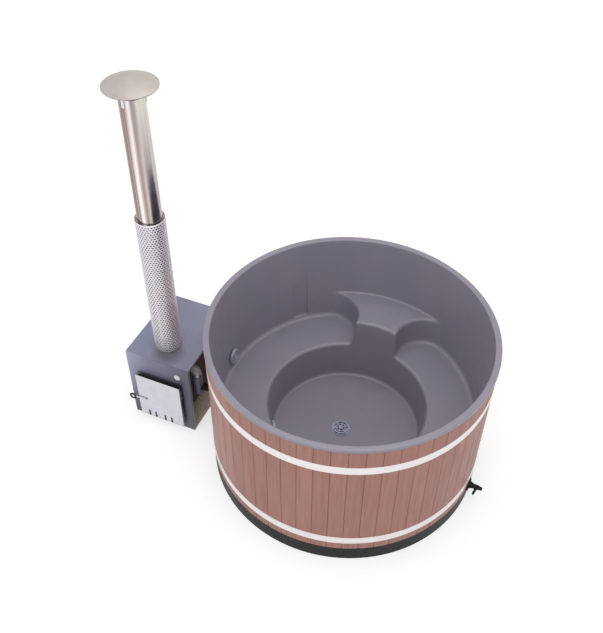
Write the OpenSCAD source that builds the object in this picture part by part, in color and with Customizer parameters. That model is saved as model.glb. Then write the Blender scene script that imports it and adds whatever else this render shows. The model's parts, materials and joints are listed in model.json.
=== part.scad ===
// Round wooden hot tub with a moulded liner and an outside wood-fired heater.
// Millimetres. The origin is the middle of the tub's underside, +Z is up.
// The heater stands on the -X side with its door facing -Y. The entry step is on the +Y side.

/* [Tub] */
// Outer radius of the staves
tub_r = 893; // [885:1:896]
// Thickness of a stave
stave_t = 27; // [24:1:28]
// Number of staves round the tub
stave_count = 58; // [50:1:66]
// Angle of the first joint between staves
stave_phase = 4.45; // [0:0.05:6]
// Height of the rim above the ground
rim_z = 1110; // [1080:5:1140]
// Outer radius of the rim's lip
rim_r = 900; // [899:1:905]
// Height of the black plinth
plinth_h = 116; // [110:1:118]
// Width of a steel hoop
hoop_w = 60; // [50:1:65]
// Height of the middle of the lower hoop
hoop_low_z = 208; // [200:1:212]
// Height of the middle of the upper hoop
hoop_high_z = 922; // [860:1:940]

/* [Liner] */
// Wall thickness of the moulded liner
liner_t = 5; // [4:0.5:6]
// Height of the foot well's floor
floor_z = 165; // [162:1:172]
// Height of the bench
bench_z = 445; // [430:1:460]
// Height of the entry step
step_z = 650; // [620:5:680]
// Radius of the foot well where it meets its floor
well_r = 498; // [480:1:505]
// Half width of the entry step at its front
step_half_w = 153; // [140:1:160]
// Radius of the hollow curve on each side of the step
step_curve_r = 195; // [190:1:197]

/* [Heater] */
// Width of the heater's casing along X
casing_w = 474; // [470:1:476]
// Depth of the heater's casing along Y
casing_d = 613; // [606:1:620]
// Height of the heater's casing
casing_h = 616; // [610:1:622]
// Gap between the tub's staves and the casing
casing_gap = 107; // [105:1:109]
// Width of the stainless shield on the door
shield_w = 338; // [334:1:340]
// Height of the stainless shield on the door
shield_h = 400; // [390:1:402]

/* [Flue] */
// Outer radius of the flue pipe
flue_r = 75; // [74.5:0.1:75.5]
// Height of the top of the flue pipe
flue_top_z = 2486; // [2200:2:2600]
// Outer radius of the perforated guard
guard_r = 91; // [88:1:96]
// Height of the top of the guard
guard_top_z = 1684; // [1400:2:1800]
// Radius of the rain cap
cap_r = 153; // [140:1:160]
// Gap between the pipe and the rain cap
cap_gap = 52; // [45:1:60]

/* [Hidden] */
$fn = 96;
fine = 1440;

// Colours, as the photograph shows them
wood_red = [0.61, 0.44, 0.40];
raw_wood = [0.78, 0.66, 0.48];
shell_grey = [0.47, 0.46, 0.50];
steel_bright = [0.84, 0.83, 0.84];
steel_dull = [0.62, 0.62, 0.64];
casing_grey = [0.36, 0.36, 0.41];
plastic_black = [0.10, 0.10, 0.11];
rubber_grey = [0.55, 0.55, 0.57];
cast_black = [0.16, 0.16, 0.16];
white_enamel = [0.92, 0.91, 0.92];

// Tub
stave_in_r = tub_r - stave_t;
stave_step = 360 / stave_count;
stave_gap = 0.5;
stave_top_z = rim_z - 7;
board_t = 18;
deck_t = 16;
deck_top_z = floor_z - liner_t - 1;
joist_w = 44;
joist_ys = [-650, -390, -130, 130, 390, 650];
joist_top_z = deck_top_z - deck_t;
frame_r = stave_in_r - 2;
post_w = 70;
post_ring_r = 680;
hoop_t = 2;
hoop_in_r = tub_r + 0.2;
hoop_lug_az = 60;
hoop_open = 1.6;
lug_out = 30;
lug_t = 4;

// Liner: the water side is drawn with e = 0 and the back of the shell with e = liner_t
wall_top_r = 861;
wall_slope = 0.0412;
well_slope = 0.085;
floor_fillet = 35;
bench_edge = 22;
step_edge = 18;
bench_fillet = 50;
rim_edge = 9;
rim_t = 6;
lip_h = 20;
step_curve_y = 540;
step_curve_x = step_half_w + step_curve_r;
step_tip_az = atan2(step_curve_y, step_curve_x);
pad_az = 134.7;
pad_w = 104;
pad_z = 482;
pad_h = 258;
pad_face_r = 846;
far = 2000;

// Heater
casing_right = -(tub_r + casing_gap);
casing_left_x = casing_right - casing_w;
casing_front_y = -322;
casing_back_y = casing_front_y + casing_d;
sheet = 3;
casing_lift = 2;
pad_foot_h = 8;
flange_w = 20;
mouth_l = -1380;
mouth_r = -1130;
mouth_low = 90;
mouth_high = 410;
jacket_x = [-1424, -1100];
jacket_y = [-314, 240];
jacket_z = [66, 560];
jacket_t = 3;
box_x = [-1397, -1120];
box_y = [-314, 212];
box_z = [88, 500];
box_t = 5;
weld = 0.1;
frame_w = 14;
frame_d = 8;
seal_d = 3;
door_t = 5;
door_x = [-1396, -1083];
door_z = [68, 432];
shield_low = 50;
shield_mid_x = -1233;
shield_face_y = -360;
shield_sheet = 2;
shield_back_y = -344;
slot_w = 15;
slot_h = 54;
slot_mid_z = 82;
slot_xs = [-1333, -1282, -1208, -1157];
hinge_x = -1071;
hinge_y = -334;
hinge_zs = [135, 345];
knuckle_r = 8;
knuckle_h = 24;
pin_r = 4;
running = 0.05;
latch_x = -1344;
latch_z = 222;
spindle_r = 5;
bar_len = 84;
bar_t = 4;
bar_gap = 5;
grip_r = 26;
grip_wire = 6;
cam_len = 24.5;
disc_x = -1089;
disc_z = 519;
disc_r = 22;

// Flue
flue_pos = [-1245, -142, 0];
flue_t = 1.5;
socket_r = flue_r - flue_t - 0.2;
socket_top = 602;
guard_t = 1.5;
cap_rise = 34;
cap_t = 2;
cap_z = flue_top_z + cap_gap;
strap_azs = [23, 143, 263];
strap_w = 20;
strap_t = 2;
spacer_zs = [650, guard_top_z - 60];

// Water fittings
fit_r = 25;
fit_bore = 21;
fit_hole = 26;
flange_r = 53;
gasket_r = 34;
cover_r = 52;
flange_t = 6;
inlet_az = 180;
inlet_z = 530;
outlet_az = 215;
outlet_z = 288;
union_az = 188.6;
spigot_end = 948;
union_start = 813;
hose_in = 25.2;
hose_out = 32;
hose_sides = 16;
hose_bore = 25.9;
hose_wall = 5.6;
elbow_r = 42;
riser_r = 1052;
tee_r = 36;
tee_low = 240;
tee_high = 405;
tee_spigot = 18;
port_z = 468;
port_len = 40;
clamp_w = 14;
clamp_t = 1.6;

// Drain and its valve: one straight run from the floor drain to the wall
drain_pos = [-25, -20, 0];
valve_az = -4;
drain_z = 100;
exit_x = tub_r * cos(valve_az);
exit_y = tub_r * sin(valve_az);
drain_az = atan2(exit_y - drain_pos[1], exit_x - drain_pos[0]);
run = sqrt(pow(exit_x - drain_pos[0], 2) + pow(exit_y - drain_pos[1], 2));
drain_pipe_r = 25;
drain_pipe_in = 21;
valve_plate_r = 42;
valve_mid = 53;
ball_r = 12;
ball_socket = 9;
water_r = 8;
barrel_r = 17;
stem_r = 4;
lever_y = -34;
lever_tilt = 10;
tail_r = 12.5;

// --- helpers ---------------------------------------------------------------

// Angle from a to b, taken the short way round
function turn(a, b) = (b - a + 900) % 360 - 180;
function unit(v) = v / norm(v);

// Points of an arc of radius r that rounds the corner p between a and b
function rounded(a, p, b, r, n = 5) =
  let (
    u = unit(a - p),
    v = unit(b - p),
    half = acos(u * v) / 2,
    c = p + unit(u + v) * r / sin(half),
    s = p + u * r / tan(half) - c,
    e = p + v * r / tan(half) - c,
    from = atan2(s[1], s[0]),
    sweep = turn(from, atan2(e[1], e[0]))
  )
  [for (i = [0:n]) c + r * [cos(from + sweep * i / n), sin(from + sweep * i / n)]];

function wall_r(z) = wall_top_r - wall_slope * (rim_z - z);
function well_wall_r(z) = well_r + well_slope * (z - floor_z);

module ring(r_out, r_in, h) {
  rotate_extrude() translate([r_in, 0]) square([r_out - r_in, h]);
}

// Box from its lowest corner to its highest corner
module block(low, high) {
  translate(low) cube(high - low);
}

// Puts a shape that is drawn along +Z on a level axis at height z, pointing out at angle az
module outward(az, z, r = 0, at = [0, 0, 0]) {
  translate(at) rotate([0, 0, az]) translate([r, 0, z]) rotate([0, 90, 0]) children();
}

// Same, for the run from the drain to the valve, s millimetres past the outside of the staves
module on_valve_axis(s) {
  outward(drain_az, drain_z, run + s, drain_pos) children();
}

module at_flue(z = 0) {
  translate(flue_pos + [0, 0, z]) children();
}

// --- tub frame ---------------------------------------------------------------

module base_board() {
  color(plastic_black) cylinder(r = frame_r, h = board_t);
}

module plinth_ring() {
  color(plastic_black)
  difference() {
    ring(tub_r, stave_in_r, plinth_h);
    on_valve_axis(-60) cylinder(r = drain_pipe_r + 1, h = 90);
  }
}

module joists() {
  color(raw_wood)
  for (y = joist_ys)
    let (half = sqrt(pow(frame_r - 10, 2) - pow(abs(y) + joist_w / 2, 2)))
      block([-half, y - joist_w / 2, board_t], [half, y + joist_w / 2, joist_top_z]);
}

module floor_deck() {
  color(raw_wood)
  difference() {
    translate([0, 0, joist_top_z]) cylinder(r = frame_r, h = deck_t);
    translate(drain_pos) cylinder(r = 50, h = floor_z);
  }
}

// Square posts that carry the bench, and one taller post under the step
module bench_posts() {
  color(raw_wood)
  for (az = [0, 45, 90, 135, 180, 225, 270, 315])
    rotate([0, 0, az])
      let (top = az == 90 ? step_z : bench_z)
        translate([post_ring_r, 0, (deck_top_z + top - liner_t) / 2])
          cube([post_w, post_w, top - liner_t - deck_top_z], center = true);
}

// Number of the stave that stands at angle az
function stave_at(az) = floor((az - stave_phase + 360) % 360 / stave_step);
pierced = [for (az = [inlet_az, union_az, valve_az]) stave_at(az)];

// The numbered staves, with a fine gap at each joint
module stave_boards(numbers) {
  gap_az = asin(stave_gap / tub_r);
  for (i = numbers)
    rotate([0, 0, stave_phase + i * stave_step + gap_az / 2])
      translate([0, 0, plinth_h])
        rotate_extrude(angle = stave_step - gap_az)
          translate([stave_in_r, 0]) square([stave_t, stave_top_z - plinth_h]);
}

module staves() {
  color(wood_red) stave_boards([for (i = [0:stave_count - 1]) if (len(search(i, pierced)) == 0) i]);
}

// The three staves that a pipe passes through
module pierced_staves() {
  color(wood_red)
  difference() {
    stave_boards(pierced);
    outward(inlet_az, inlet_z, tub_r - 60) cylinder(r = fit_hole, h = 90);
    outward(union_az, outlet_z, tub_r - 60) cylinder(r = fit_hole, h = 90);
    on_valve_axis(-60) cylinder(r = drain_pipe_r + 1, h = 90);
  }
}

// A steel hoop, open at the back, with a bent lug at each end for its bolt
module hoop(z) {
  color(steel_bright)
  difference() {
    union() {
      rotate([0, 0, hoop_lug_az + hoop_open])
        translate([0, 0, z - hoop_w / 2])
          rotate_extrude(angle = 360 - 2 * hoop_open)
            translate([hoop_in_r, 0]) square([hoop_t, hoop_w]);
      for (side = [-1, 1])
        rotate([0, 0, hoop_lug_az])
          translate([0, side * (tub_r * sin(hoop_open) + 1), z - hoop_w / 2])
            translate([hoop_in_r - 0.5, side > 0 ? 0 : -lug_t, 0])
              cube([lug_out, lug_t, hoop_w]);
    }
    hoop_bolt_place(z) cylinder(r = 5.5, h = 120, center = true);
  }
}

module hoop_bolt_place(z) {
  rotate([0, 0, hoop_lug_az])
    translate([tub_r + 18, 0, z]) rotate([90, 0, 0]) children();
}

module hoop_upper() { hoop(hoop_high_z); }
module hoop_lower() { hoop(hoop_low_z); }

// Hexagon bolts that draw the hoops tight, each with its nut
module hoop_bolts() {
  lug_y = tub_r * sin(hoop_open) + 1 + lug_t;
  color(steel_dull)
  for (z = [hoop_low_z, hoop_high_z])
    hoop_bolt_place(z) {
      translate([0, 0, -lug_y - 12]) cylinder(r = 5, h = 2 * lug_y + 24);
      translate([0, 0, lug_y]) cylinder(r = 9.2, h = 7, $fn = 6);
      difference() {
        translate([0, 0, -lug_y - 8]) cylinder(r = 9.2, h = 8, $fn = 6);
        translate([0, 0, -lug_y - 9]) cylinder(r = 5.1, h = 10);
      }
    }
}

// --- liner -------------------------------------------------------------------

// Half section of the tub's inside, with every face moved outward by e
function cavity_profile(e, top) =
  let (
    floor_in = [0, floor_z - e],
    floor_out = [well_wall_r(floor_z - e) + e, floor_z - e],
    bench_in = [well_wall_r(bench_z - e) + e, bench_z - e],
    bench_out = [wall_r(bench_z - e) + e, bench_z - e],
    wall_top = [wall_r(top) + e, top]
  )
  concat(
    [floor_in],
    rounded(floor_in, floor_out, bench_in, floor_fillet + e),
    rounded(floor_out, bench_in, bench_out, bench_edge - e),
    rounded(bench_in, bench_out, wall_top, bench_fillet + e),
    [wall_top]
  );

// Plan of the step, between the two hollow curves that run out to the wall
module step_plan(e) {
  reach = 1200;
  difference() {
    polygon([
      [0, 0],
      reach * [cos(step_tip_az), sin(step_tip_az)],
      reach * [cos(step_tip_az), 1.4],
      reach * [-cos(step_tip_az), 1.4],
      reach * [-cos(step_tip_az), sin(step_tip_az)]
    ]);
    for (side = [-1, 1]) {
      translate([side * step_curve_x, step_curve_y]) circle(r = step_curve_r + e);
      translate([side > 0 ? step_half_w - e : -far, -far])
        square([far - step_half_w + e, far + step_curve_y]);
    }
  }
}

module step_block(e) {
  low = bench_z - 60;
  top = step_z - e;
  intersection() {
    translate([0, 0, low]) linear_extrude(height = top - low) step_plan(e);
    rotate_extrude()
      polygon(concat(
        [[well_wall_r(low) + e, low]],
        rounded([well_wall_r(low) + e, low], [well_wall_r(top) + e, top],
                [tub_r, top], step_edge - e),
        [[tub_r, top], [tub_r, low]]
      ));
  }
}

// Flat upright pad in the wall, sunk deepest at its foot
module wall_pad(e) {
  rotate([0, 0, pad_az])
    block([700, -pad_w / 2 - e, pad_z - e], [pad_face_r + e, pad_w / 2 + e, pad_z + pad_h + e]);
}

module water_space() {
  top = [wall_r(rim_z), rim_z];
  below = [wall_r(rim_z - 100), rim_z - 100];
  difference() {
    rotate_extrude()
      polygon(concat(
        cavity_profile(0, rim_z - 100),
        rounded(below, top, top + [30, 0], rim_edge),
        [top + [30, 0], top + [30, 30], [0, rim_z + 30]]
      ));
    step_block(0);
  }
  wall_pad(0);
}

module shell_space() {
  difference() {
    rotate_extrude()
      polygon(concat(cavity_profile(liner_t, rim_z - 3), [[0, rim_z - 3]]));
    step_block(liner_t);
  }
  wall_pad(liner_t);
}

// Rolled rim with a lip that covers the tops of the staves
module rim() {
  corner = [rim_r, rim_z];
  rotate_extrude()
    polygon(concat(
      [[wall_top_r + 2, rim_z - rim_t],
       [rim_r - rim_t, rim_z - rim_t],
       [rim_r - rim_t, rim_z - lip_h],
       [rim_r, rim_z - lip_h]],
      rounded([rim_r, rim_z - lip_h], corner, [wall_top_r, rim_z], rim_t),
      [[wall_top_r + 2, rim_z]]
    ));
}

module liner() {
  color(shell_grey)
  difference() {
    union() {
      shell_space();
      rim();
    }
    water_space();
    translate(drain_pos) cylinder(r = 29, h = floor_z + 20);
    outward(inlet_az, inlet_z, wall_r(inlet_z) - 40) cylinder(r = fit_hole, h = 80);
    outward(outlet_az, outlet_z, well_wall_r(outlet_z) - 40) cylinder(r = fit_hole, h = 80);
  }
}

// --- circulation between the tub and the heater --------------------------------

// Flanged wall fitting: the flange is on the water side, the tail runs outward
module wall_fitting(az, z, r_wall, tail_end) {
  outward(az, z) {
    translate([0, 0, r_wall - 12]) ring(flange_r, fit_bore, flange_t);
    translate([0, 0, r_wall - 8]) ring(fit_r, fit_bore, tail_end - r_wall + 8);
  }
}

// Round cover with a rim, a boss and spokes, drawn along +Z
module spoked_cover(r, h, spokes = 6) {
  spoke_w = 7;
  ring(r, r - 8, h);
  ring(r * 0.62, r * 0.62 - 5, h - 2);
  cylinder(r = r * 0.26, h = h);
  intersection() {
    cylinder(r = r - 1, h = h - 2);
    for (i = [0:spokes - 1])
      rotate([0, 0, 60 * i + 30])
        translate([0, -spoke_w / 2, 0]) cube([r, spoke_w, h - 2]);
  }
}

// The fitting in the wall, whose tail goes on through the staves, and the one in the foot well
module wall_fittings() {
  well_side = well_wall_r(outlet_z);
  color(casing_grey) {
    wall_fitting(inlet_az, inlet_z, wall_r(inlet_z), spigot_end);
    wall_fitting(outlet_az, outlet_z, well_side, well_side + 70);
  }
}

module inlet_grille() {
  color(casing_grey)
  outward(inlet_az, inlet_z, wall_r(inlet_z) - 12.2)
    rotate([180, 0, 0]) spoked_cover(cover_r, 12);
}

module outlet_grille() {
  color(casing_grey)
  outward(outlet_az, outlet_z, well_wall_r(outlet_z) - 12.2)
    rotate([180, 0, 0]) spoked_cover(cover_r, 12);
}

// Gasket between a flat flange and the curved wall, cut to the wall's curve
module flange_gasket(az, z, r_wall, slope) {
  difference() {
    outward(az, z, r_wall - 5.9) ring(gasket_r, fit_r + 0.2, 12);
    translate([0, 0, z - 80]) difference() {
      cylinder(r = far, h = 160);
      cylinder(r1 = r_wall - slope * 80, r2 = r_wall + slope * 80, h = 160, $fn = fine);
    }
  }
}

module fitting_gaskets() {
  color(plastic_black) {
    flange_gasket(inlet_az, inlet_z, wall_r(inlet_z) - 0.1, wall_slope);
    flange_gasket(outlet_az, outlet_z, well_wall_r(outlet_z) - 0.1, well_slope);
  }
}

// Round backing nuts behind the liner, inside the staves and under the drain
module fitting_nuts() {
  nut_r = 37;
  color(plastic_black) {
    outward(inlet_az, inlet_z, wall_r(inlet_z) + liner_t + 2.5) ring(nut_r, fit_r + 0.1, 11);
    outward(outlet_az, outlet_z, well_wall_r(outlet_z) + liner_t + 4) ring(nut_r, fit_r + 0.1, 12);
    outward(union_az, outlet_z, stave_in_r - 15) ring(nut_r, fit_r + 0.1, 12);
    translate(drain_pos + [0, 0, floor_z - liner_t - 14]) ring(44, 28.2, 13.5);
  }
}

// Straight pipe that carries the return through the staves and into the tee
module wall_union() {
  tail_end = riser_r - fit_r - 2;
  color(plastic_black)
  outward(union_az, outlet_z) {
    translate([0, 0, tub_r + 1]) ring(valve_plate_r, fit_bore, flange_t);
    translate([0, 0, union_start]) ring(fit_r, fit_bore, tail_end - union_start);
  }
}

// Point on the under-bench route, from the staves (t = 0) to the foot well (t = 1)
function ray(az, r) = r * [cos(az), sin(az)];
hose_start = ray(union_az, 812);
hose_end = ray(outlet_az, well_wall_r(outlet_z) + 70);
hose_pull = 110;
function bend(t) =
  let (
    b = hose_start - ray(union_az, hose_pull),
    c = hose_end + ray(outlet_az, hose_pull),
    s = 1 - t
  )
  s * s * s * hose_start + 3 * s * s * t * b + 3 * s * t * t * c + t * t * t * hose_end;

// Hose with a bore, swept along a level route of [point, heading] pairs
module level_hose(route, z, r_out, r_in, sides) {
  n = len(route);
  function rim_point(k, r, j) =
    let (p = route[k][0], h = route[k][1], a = 360 * j / sides)
    [p[0] - h[1] * r * cos(a), p[1] + h[0] * r * cos(a), z + r * sin(a)];
  points = [for (r = [r_out, r_in]) for (k = [0:n - 1]) for (j = [0:sides - 1]) rim_point(k, r, j)];
  function at(shell, k, j) = shell * n * sides + k * sides + j % sides;
  skin = [for (k = [0:n - 2]) for (j = [0:sides - 1])
    [at(0, k, j), at(0, k, j + 1), at(0, k + 1, j + 1), at(0, k + 1, j)]];
  bore = [for (k = [0:n - 2]) for (j = [0:sides - 1])
    [at(1, k, j), at(1, k + 1, j), at(1, k + 1, j + 1), at(1, k, j + 1)]];
  mouths = [for (j = [0:sides - 1]) each [
    [at(0, 0, j), at(1, 0, j), at(1, 0, j + 1), at(0, 0, j + 1)],
    [at(0, n - 1, j), at(0, n - 1, j + 1), at(1, n - 1, j + 1), at(1, n - 1, j)]]];
  quads = concat(skin, bore, mouths);
  faces = [for (q = quads) each [[q[2], q[1], q[0]], [q[3], q[2], q[0]]]];
  polyhedron(points = points, faces = faces);
}

module under_bench_hose() {
  rings = 12;
  leave = -ray(union_az, 1);
  arrive = -ray(outlet_az, 1);
  route = concat(
    [[hose_start - 32 * leave, leave], [hose_start, leave]],
    [for (i = [1:rings - 1]) [bend(i / rings), unit(bend((i + 0.1) / rings) - bend((i - 0.1) / rings))]],
    [[hose_end, arrive], [hose_end + 38 * arrive, arrive]]
  );
  color(rubber_grey)
    level_hose(route, outlet_z, hose_bore + hose_wall, hose_bore, hose_sides);
}

module flow_hose() {
  start = tub_r + 12;
  color(rubber_grey)
  outward(inlet_az, inlet_z, start) ring(hose_out, hose_in, -jacket_x[1] - 4 - start);
}

// Puts a shape at height z on the upright axis of the return, between the tub and the boiler
module at_riser(z) {
  rotate([0, 0, union_az]) translate([riser_r, 0, z]) children();
}

// Tee with a closed foot: the pipe from the tub enters its side, the hose leaves its top
module return_tee() {
  foot_t = 8;
  color(casing_grey)
  difference() {
    union() {
      at_riser(tee_low) cylinder(r = tee_r, h = tee_high - tee_low);
      at_riser(tee_high - 1) cylinder(r = fit_r, h = tee_spigot + 1);
    }
    at_riser(tee_low + foot_t) cylinder(r = fit_bore, h = tee_high - tee_low + tee_spigot);
    outward(union_az, outlet_z, riser_r - tee_r - 1) cylinder(r = fit_r + 0.1, h = tee_r);
  }
}

// Moulded hose with one bend, up from the tee and into the boiler's side
module return_hose() {
  low = tee_high + 0.3;
  color(rubber_grey)
  rotate([0, 0, union_az]) {
    translate([riser_r, 0, low]) ring(hose_out, hose_in, port_z - elbow_r - low);
    translate([riser_r + elbow_r, 0, port_z - elbow_r]) rotate([90, 0, 0])
      rotate([0, 0, 90]) rotate_extrude(angle = 90) translate([elbow_r, 0]) tube_section();
    translate([riser_r + elbow_r, 0, port_z]) rotate([0, 90, 0])
      ring(hose_out, hose_in, 9);
  }
}

module tube_section() {
  difference() {
    circle(r = hose_out);
    circle(r = hose_in);
  }
}

module hose_clamp() {
  ring(hose_out + clamp_t, hose_out + 0.1, clamp_w);
  translate([hose_out, -6, 1]) cube([11, 12, clamp_w - 2]);
}

// Worm-drive clamps on the hose ends
module hose_clamps() {
  color(steel_dull) {
    outward(inlet_az, inlet_z, tub_r + 24) hose_clamp();
    outward(inlet_az, inlet_z, -jacket_x[1] - 26) hose_clamp();
    at_riser(tee_high + 3) rotate([0, 0, -90]) hose_clamp();
  }
}

// --- drain and its valve ---------------------------------------------------------

module drain_flange() {
  color(casing_grey)
  translate(drain_pos) {
    translate([0, 0, floor_z + 0.2]) ring(64, 23, 5);
    translate([0, 0, drain_z + 26]) ring(28, 23, floor_z + 1 - drain_z - 26);
  }
}

module drain_cover() {
  color(casing_grey)
  translate(drain_pos + [0, 0, floor_z + 5.4]) spoked_cover(54, 14);
}

// Elbow under the drain and the straight pipe to the wall
module drain_pipe() {
  color(plastic_black)
  difference() {
    union() {
      translate(drain_pos + [0, 0, drain_z - 30]) cylinder(r = 33, h = 68);
      outward(drain_az, drain_z, 0, drain_pos) cylinder(r = drain_pipe_r, h = run - stave_t - 4);
    }
    translate(drain_pos + [0, 0, drain_z - 24]) cylinder(r = 23, h = 80);
    translate(drain_pos + [0, 0, drain_z + 25.9]) cylinder(r = 28.1, h = 30);
    outward(drain_az, drain_z, 0, drain_pos) cylinder(r = drain_pipe_in, h = run);
  }
}

// Round gasket whose back is cut in narrow strips to the curve of the staves
module valve_gasket() {
  back_r = tub_r + 0.06;
  curve = [for (i = [0:16]) let (az = valve_az - 4 + i / 2) back_r * [cos(az), sin(az)]];
  color(plastic_black)
  intersection() {
    on_valve_axis(-6) ring(valve_plate_r, drain_pipe_in + 0.2, 9);
    linear_extrude(height = 2 * drain_z)
      polygon(concat(curve, [[back_r + 40, 0], [back_r + 40, curve[0][1]]]));
  }
}

// Wall plate with a tapering nozzle, and a spigot that reaches back into the pipe
module valve_flange() {
  color(plastic_black)
  on_valve_axis(0)
    difference() {
      union() {
        translate([0, 0, -55]) cylinder(r = drain_pipe_in - 0.1, h = 60);
        translate([0, 0, 3.1]) cylinder(r = valve_plate_r, h = 6);
        translate([0, 0, 9]) cylinder(r1 = 26, r2 = 15, h = 30);
      }
      translate([0, 0, -56]) cylinder(r = 17, h = 66);
      translate([0, 0, 9]) cylinder(r = water_r, h = 40);
    }
}

// Barrel of the ball valve with a side boss for the stem and a bottom boss
module valve_body() {
  boss = 24;
  color(plastic_black)
  on_valve_axis(valve_mid)
    difference() {
      union() {
        translate([0, 0, -14]) cylinder(r = barrel_r, h = 28);
        rotate([0, 90, 0]) cylinder(r = 11, h = boss);
        rotate([90, 0, 0]) cylinder(r = 9, h = boss - 1);
      }
      translate([0, 0, -15]) cylinder(r = water_r, h = 30);
      sphere(r = ball_r + running);
      rotate([90, 0, 0]) cylinder(r = stem_r + running, h = boss);
    }
}

// At rest the ball is turned across the flow
module valve_ball() {
  color(steel_bright)
  on_valve_axis(valve_mid)
    difference() {
      rotate([0, 90, 0])
        rotate_extrude()
          difference() {
            circle(r = ball_r);
            translate([-2 * ball_r, -ball_r]) square([2 * ball_r + water_r, 2 * ball_r]);
          }
      translate([0, -ball_socket, 0]) rotate([90, 0, 0]) cylinder(r = stem_r + 0.02, h = ball_r);
    }
}

module valve_stem() {
  color(steel_dull)
  on_valve_axis(valve_mid)
    translate([0, -ball_socket, 0]) rotate([90, 0, 0]) cylinder(r = stem_r, h = -lever_y - ball_socket);
}

// T-shaped handle, upright when the valve is shut
module valve_lever() {
  half = 38;
  grip = 8.5;
  worn = 2.5;
  color(plastic_black)
  on_valve_axis(valve_mid)
    rotate([0, 0, 180]) translate([0, -lever_y, 0]) rotate([0, -lever_tilt, 0])
      difference() {
        union() {
          rotate([0, 90, 0])
            rotate_extrude()
              polygon([
                [0, -half], [grip - worn, -half], [grip, worn - half],
                [grip, half - worn], [grip - worn, half], [0, half]
              ]);
          rotate([90, 0, 0]) cylinder(r = 7, h = 10);
        }
        rotate([90, 0, 0]) cylinder(r = stem_r + 0.02, h = 12);
      }
}

module hose_tail() {
  color(plastic_black)
  on_valve_axis(valve_mid + 14.1)
    difference() {
      union() {
        cylinder(r = 15.5, h = 4);
        cylinder(r = tail_r, h = 26);
      }
      translate([0, 0, -1]) cylinder(r = water_r, h = 40);
    }
}

// --- heater casing ------------------------------------------------------------------

module heater_feet() {
  inset = 50;
  color(plastic_black)
  for (x = [casing_left_x + inset, casing_right - inset], y = [casing_front_y + inset, casing_back_y - inset])
    translate([x, y, 0]) cylinder(r = 22, h = pad_foot_h);
}

module casing_floor() {
  color(casing_grey)
  block([casing_left_x + sheet, casing_front_y + sheet, pad_foot_h],
        [casing_right, casing_back_y - sheet, pad_foot_h + sheet]);
}

module mouth_cut(y_low, y_high) {
  block([mouth_l, y_low, mouth_low], [mouth_r, y_high, mouth_high]);
}

module casing_front() {
  top = casing_h - sheet;
  color(casing_grey)
  difference() {
    union() {
      block([casing_left_x, casing_front_y, casing_lift], [casing_right, casing_front_y + sheet, top]);
      block([casing_right - sheet, casing_front_y, pad_foot_h + sheet],
            [casing_right, casing_front_y + flange_w, top]);
    }
    mouth_cut(casing_front_y - 1, casing_front_y + sheet + 1);
  }
}

module casing_left() {
  color(casing_grey)
  block([casing_left_x, casing_front_y + sheet, casing_lift],
        [casing_left_x + sheet, casing_back_y - sheet, casing_h - sheet]);
}

module casing_back() {
  top = casing_h - sheet;
  color(casing_grey) {
    block([casing_left_x, casing_back_y - sheet, casing_lift], [casing_right, casing_back_y, top]);
    block([casing_right - sheet, casing_back_y - flange_w, pad_foot_h + sheet],
          [casing_right, casing_back_y - 1, top]);
  }
}

module casing_top() {
  color(casing_grey)
  difference() {
    union() {
      block([casing_left_x, casing_front_y, casing_h - sheet], [casing_right, casing_back_y, casing_h]);
      block([casing_right - sheet, casing_front_y + flange_w, casing_h - flange_w],
            [casing_right, casing_back_y - flange_w, casing_h - 1]);
    }
    at_flue(casing_h - 30) cylinder(r = flue_r + 3, h = 60);
  }
}

module front_disc() {
  color(white_enamel)
  translate([disc_x, casing_front_y, disc_z]) rotate([90, 0, 0]) cylinder(r = disc_r, h = 4);
}

module boiler_rails() {
  color(steel_dull)
  for (y = [-230, 150])
    block([jacket_x[0], y, pad_foot_h + sheet], [jacket_x[1], y + 40, jacket_z[0]]);
}

// --- boiler ----------------------------------------------------------------------------

// Firebox of welded plates: two sides, back, floor, roof with the flue's socket, and the front
// plate with the door's mouth. Each plate is a solid of its own, a weld's gap from the next.
module firebox() {
  in_x = [box_x[0] + box_t + weld, box_x[1] - box_t - weld];
  in_y = box_y[1] - box_t - weld;
  color(steel_dull) {
    for (x = [box_x[0], box_x[1] - box_t]) block([x, box_y[0], box_z[0]], [x + box_t, box_y[1], box_z[1]]);
    block([in_x[0], in_y + weld, box_z[0]], [in_x[1], box_y[1], box_z[1]]);
    block([in_x[0], box_y[0], box_z[0]], [in_x[1], in_y, box_z[0] + box_t]);
    difference() {
      union() {
        block([in_x[0], box_y[0], box_z[1] - box_t], [in_x[1], in_y, box_z[1]]);
        at_flue(box_z[1] - 1) cylinder(r = socket_r, h = socket_top - box_z[1] + 1);
      }
      at_flue(box_z[1] - 20) cylinder(r = socket_r - 3, h = 200);
    }
    difference() {
      block([jacket_x[0], casing_front_y + sheet, jacket_z[0]],
            [jacket_x[1], jacket_y[0] - 0.1, jacket_z[1]]);
      mouth_cut(casing_front_y - 1, box_y[0] + 1);
    }
  }
}

// Outer skin of the water space
module water_jacket() {
  t = jacket_t;
  color(steel_dull)
  difference() {
    block([jacket_x[0], jacket_y[0], jacket_z[0]], [jacket_x[1], jacket_y[1], jacket_z[1]]);
    block([jacket_x[0] + t, jacket_y[0] - 1, jacket_z[0] + t],
          [jacket_x[1] - t, jacket_y[1] - t, jacket_z[1] - t]);
    at_flue(jacket_z[1] - 20) cylinder(r = socket_r + 0.3, h = 60);
    outward(inlet_az, inlet_z, -jacket_x[1] - 20) cylinder(r = fit_bore, h = 40);
    outward(union_az, port_z, riser_r + elbow_r - 5) cylinder(r = fit_bore, h = 60);
  }
}

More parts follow.
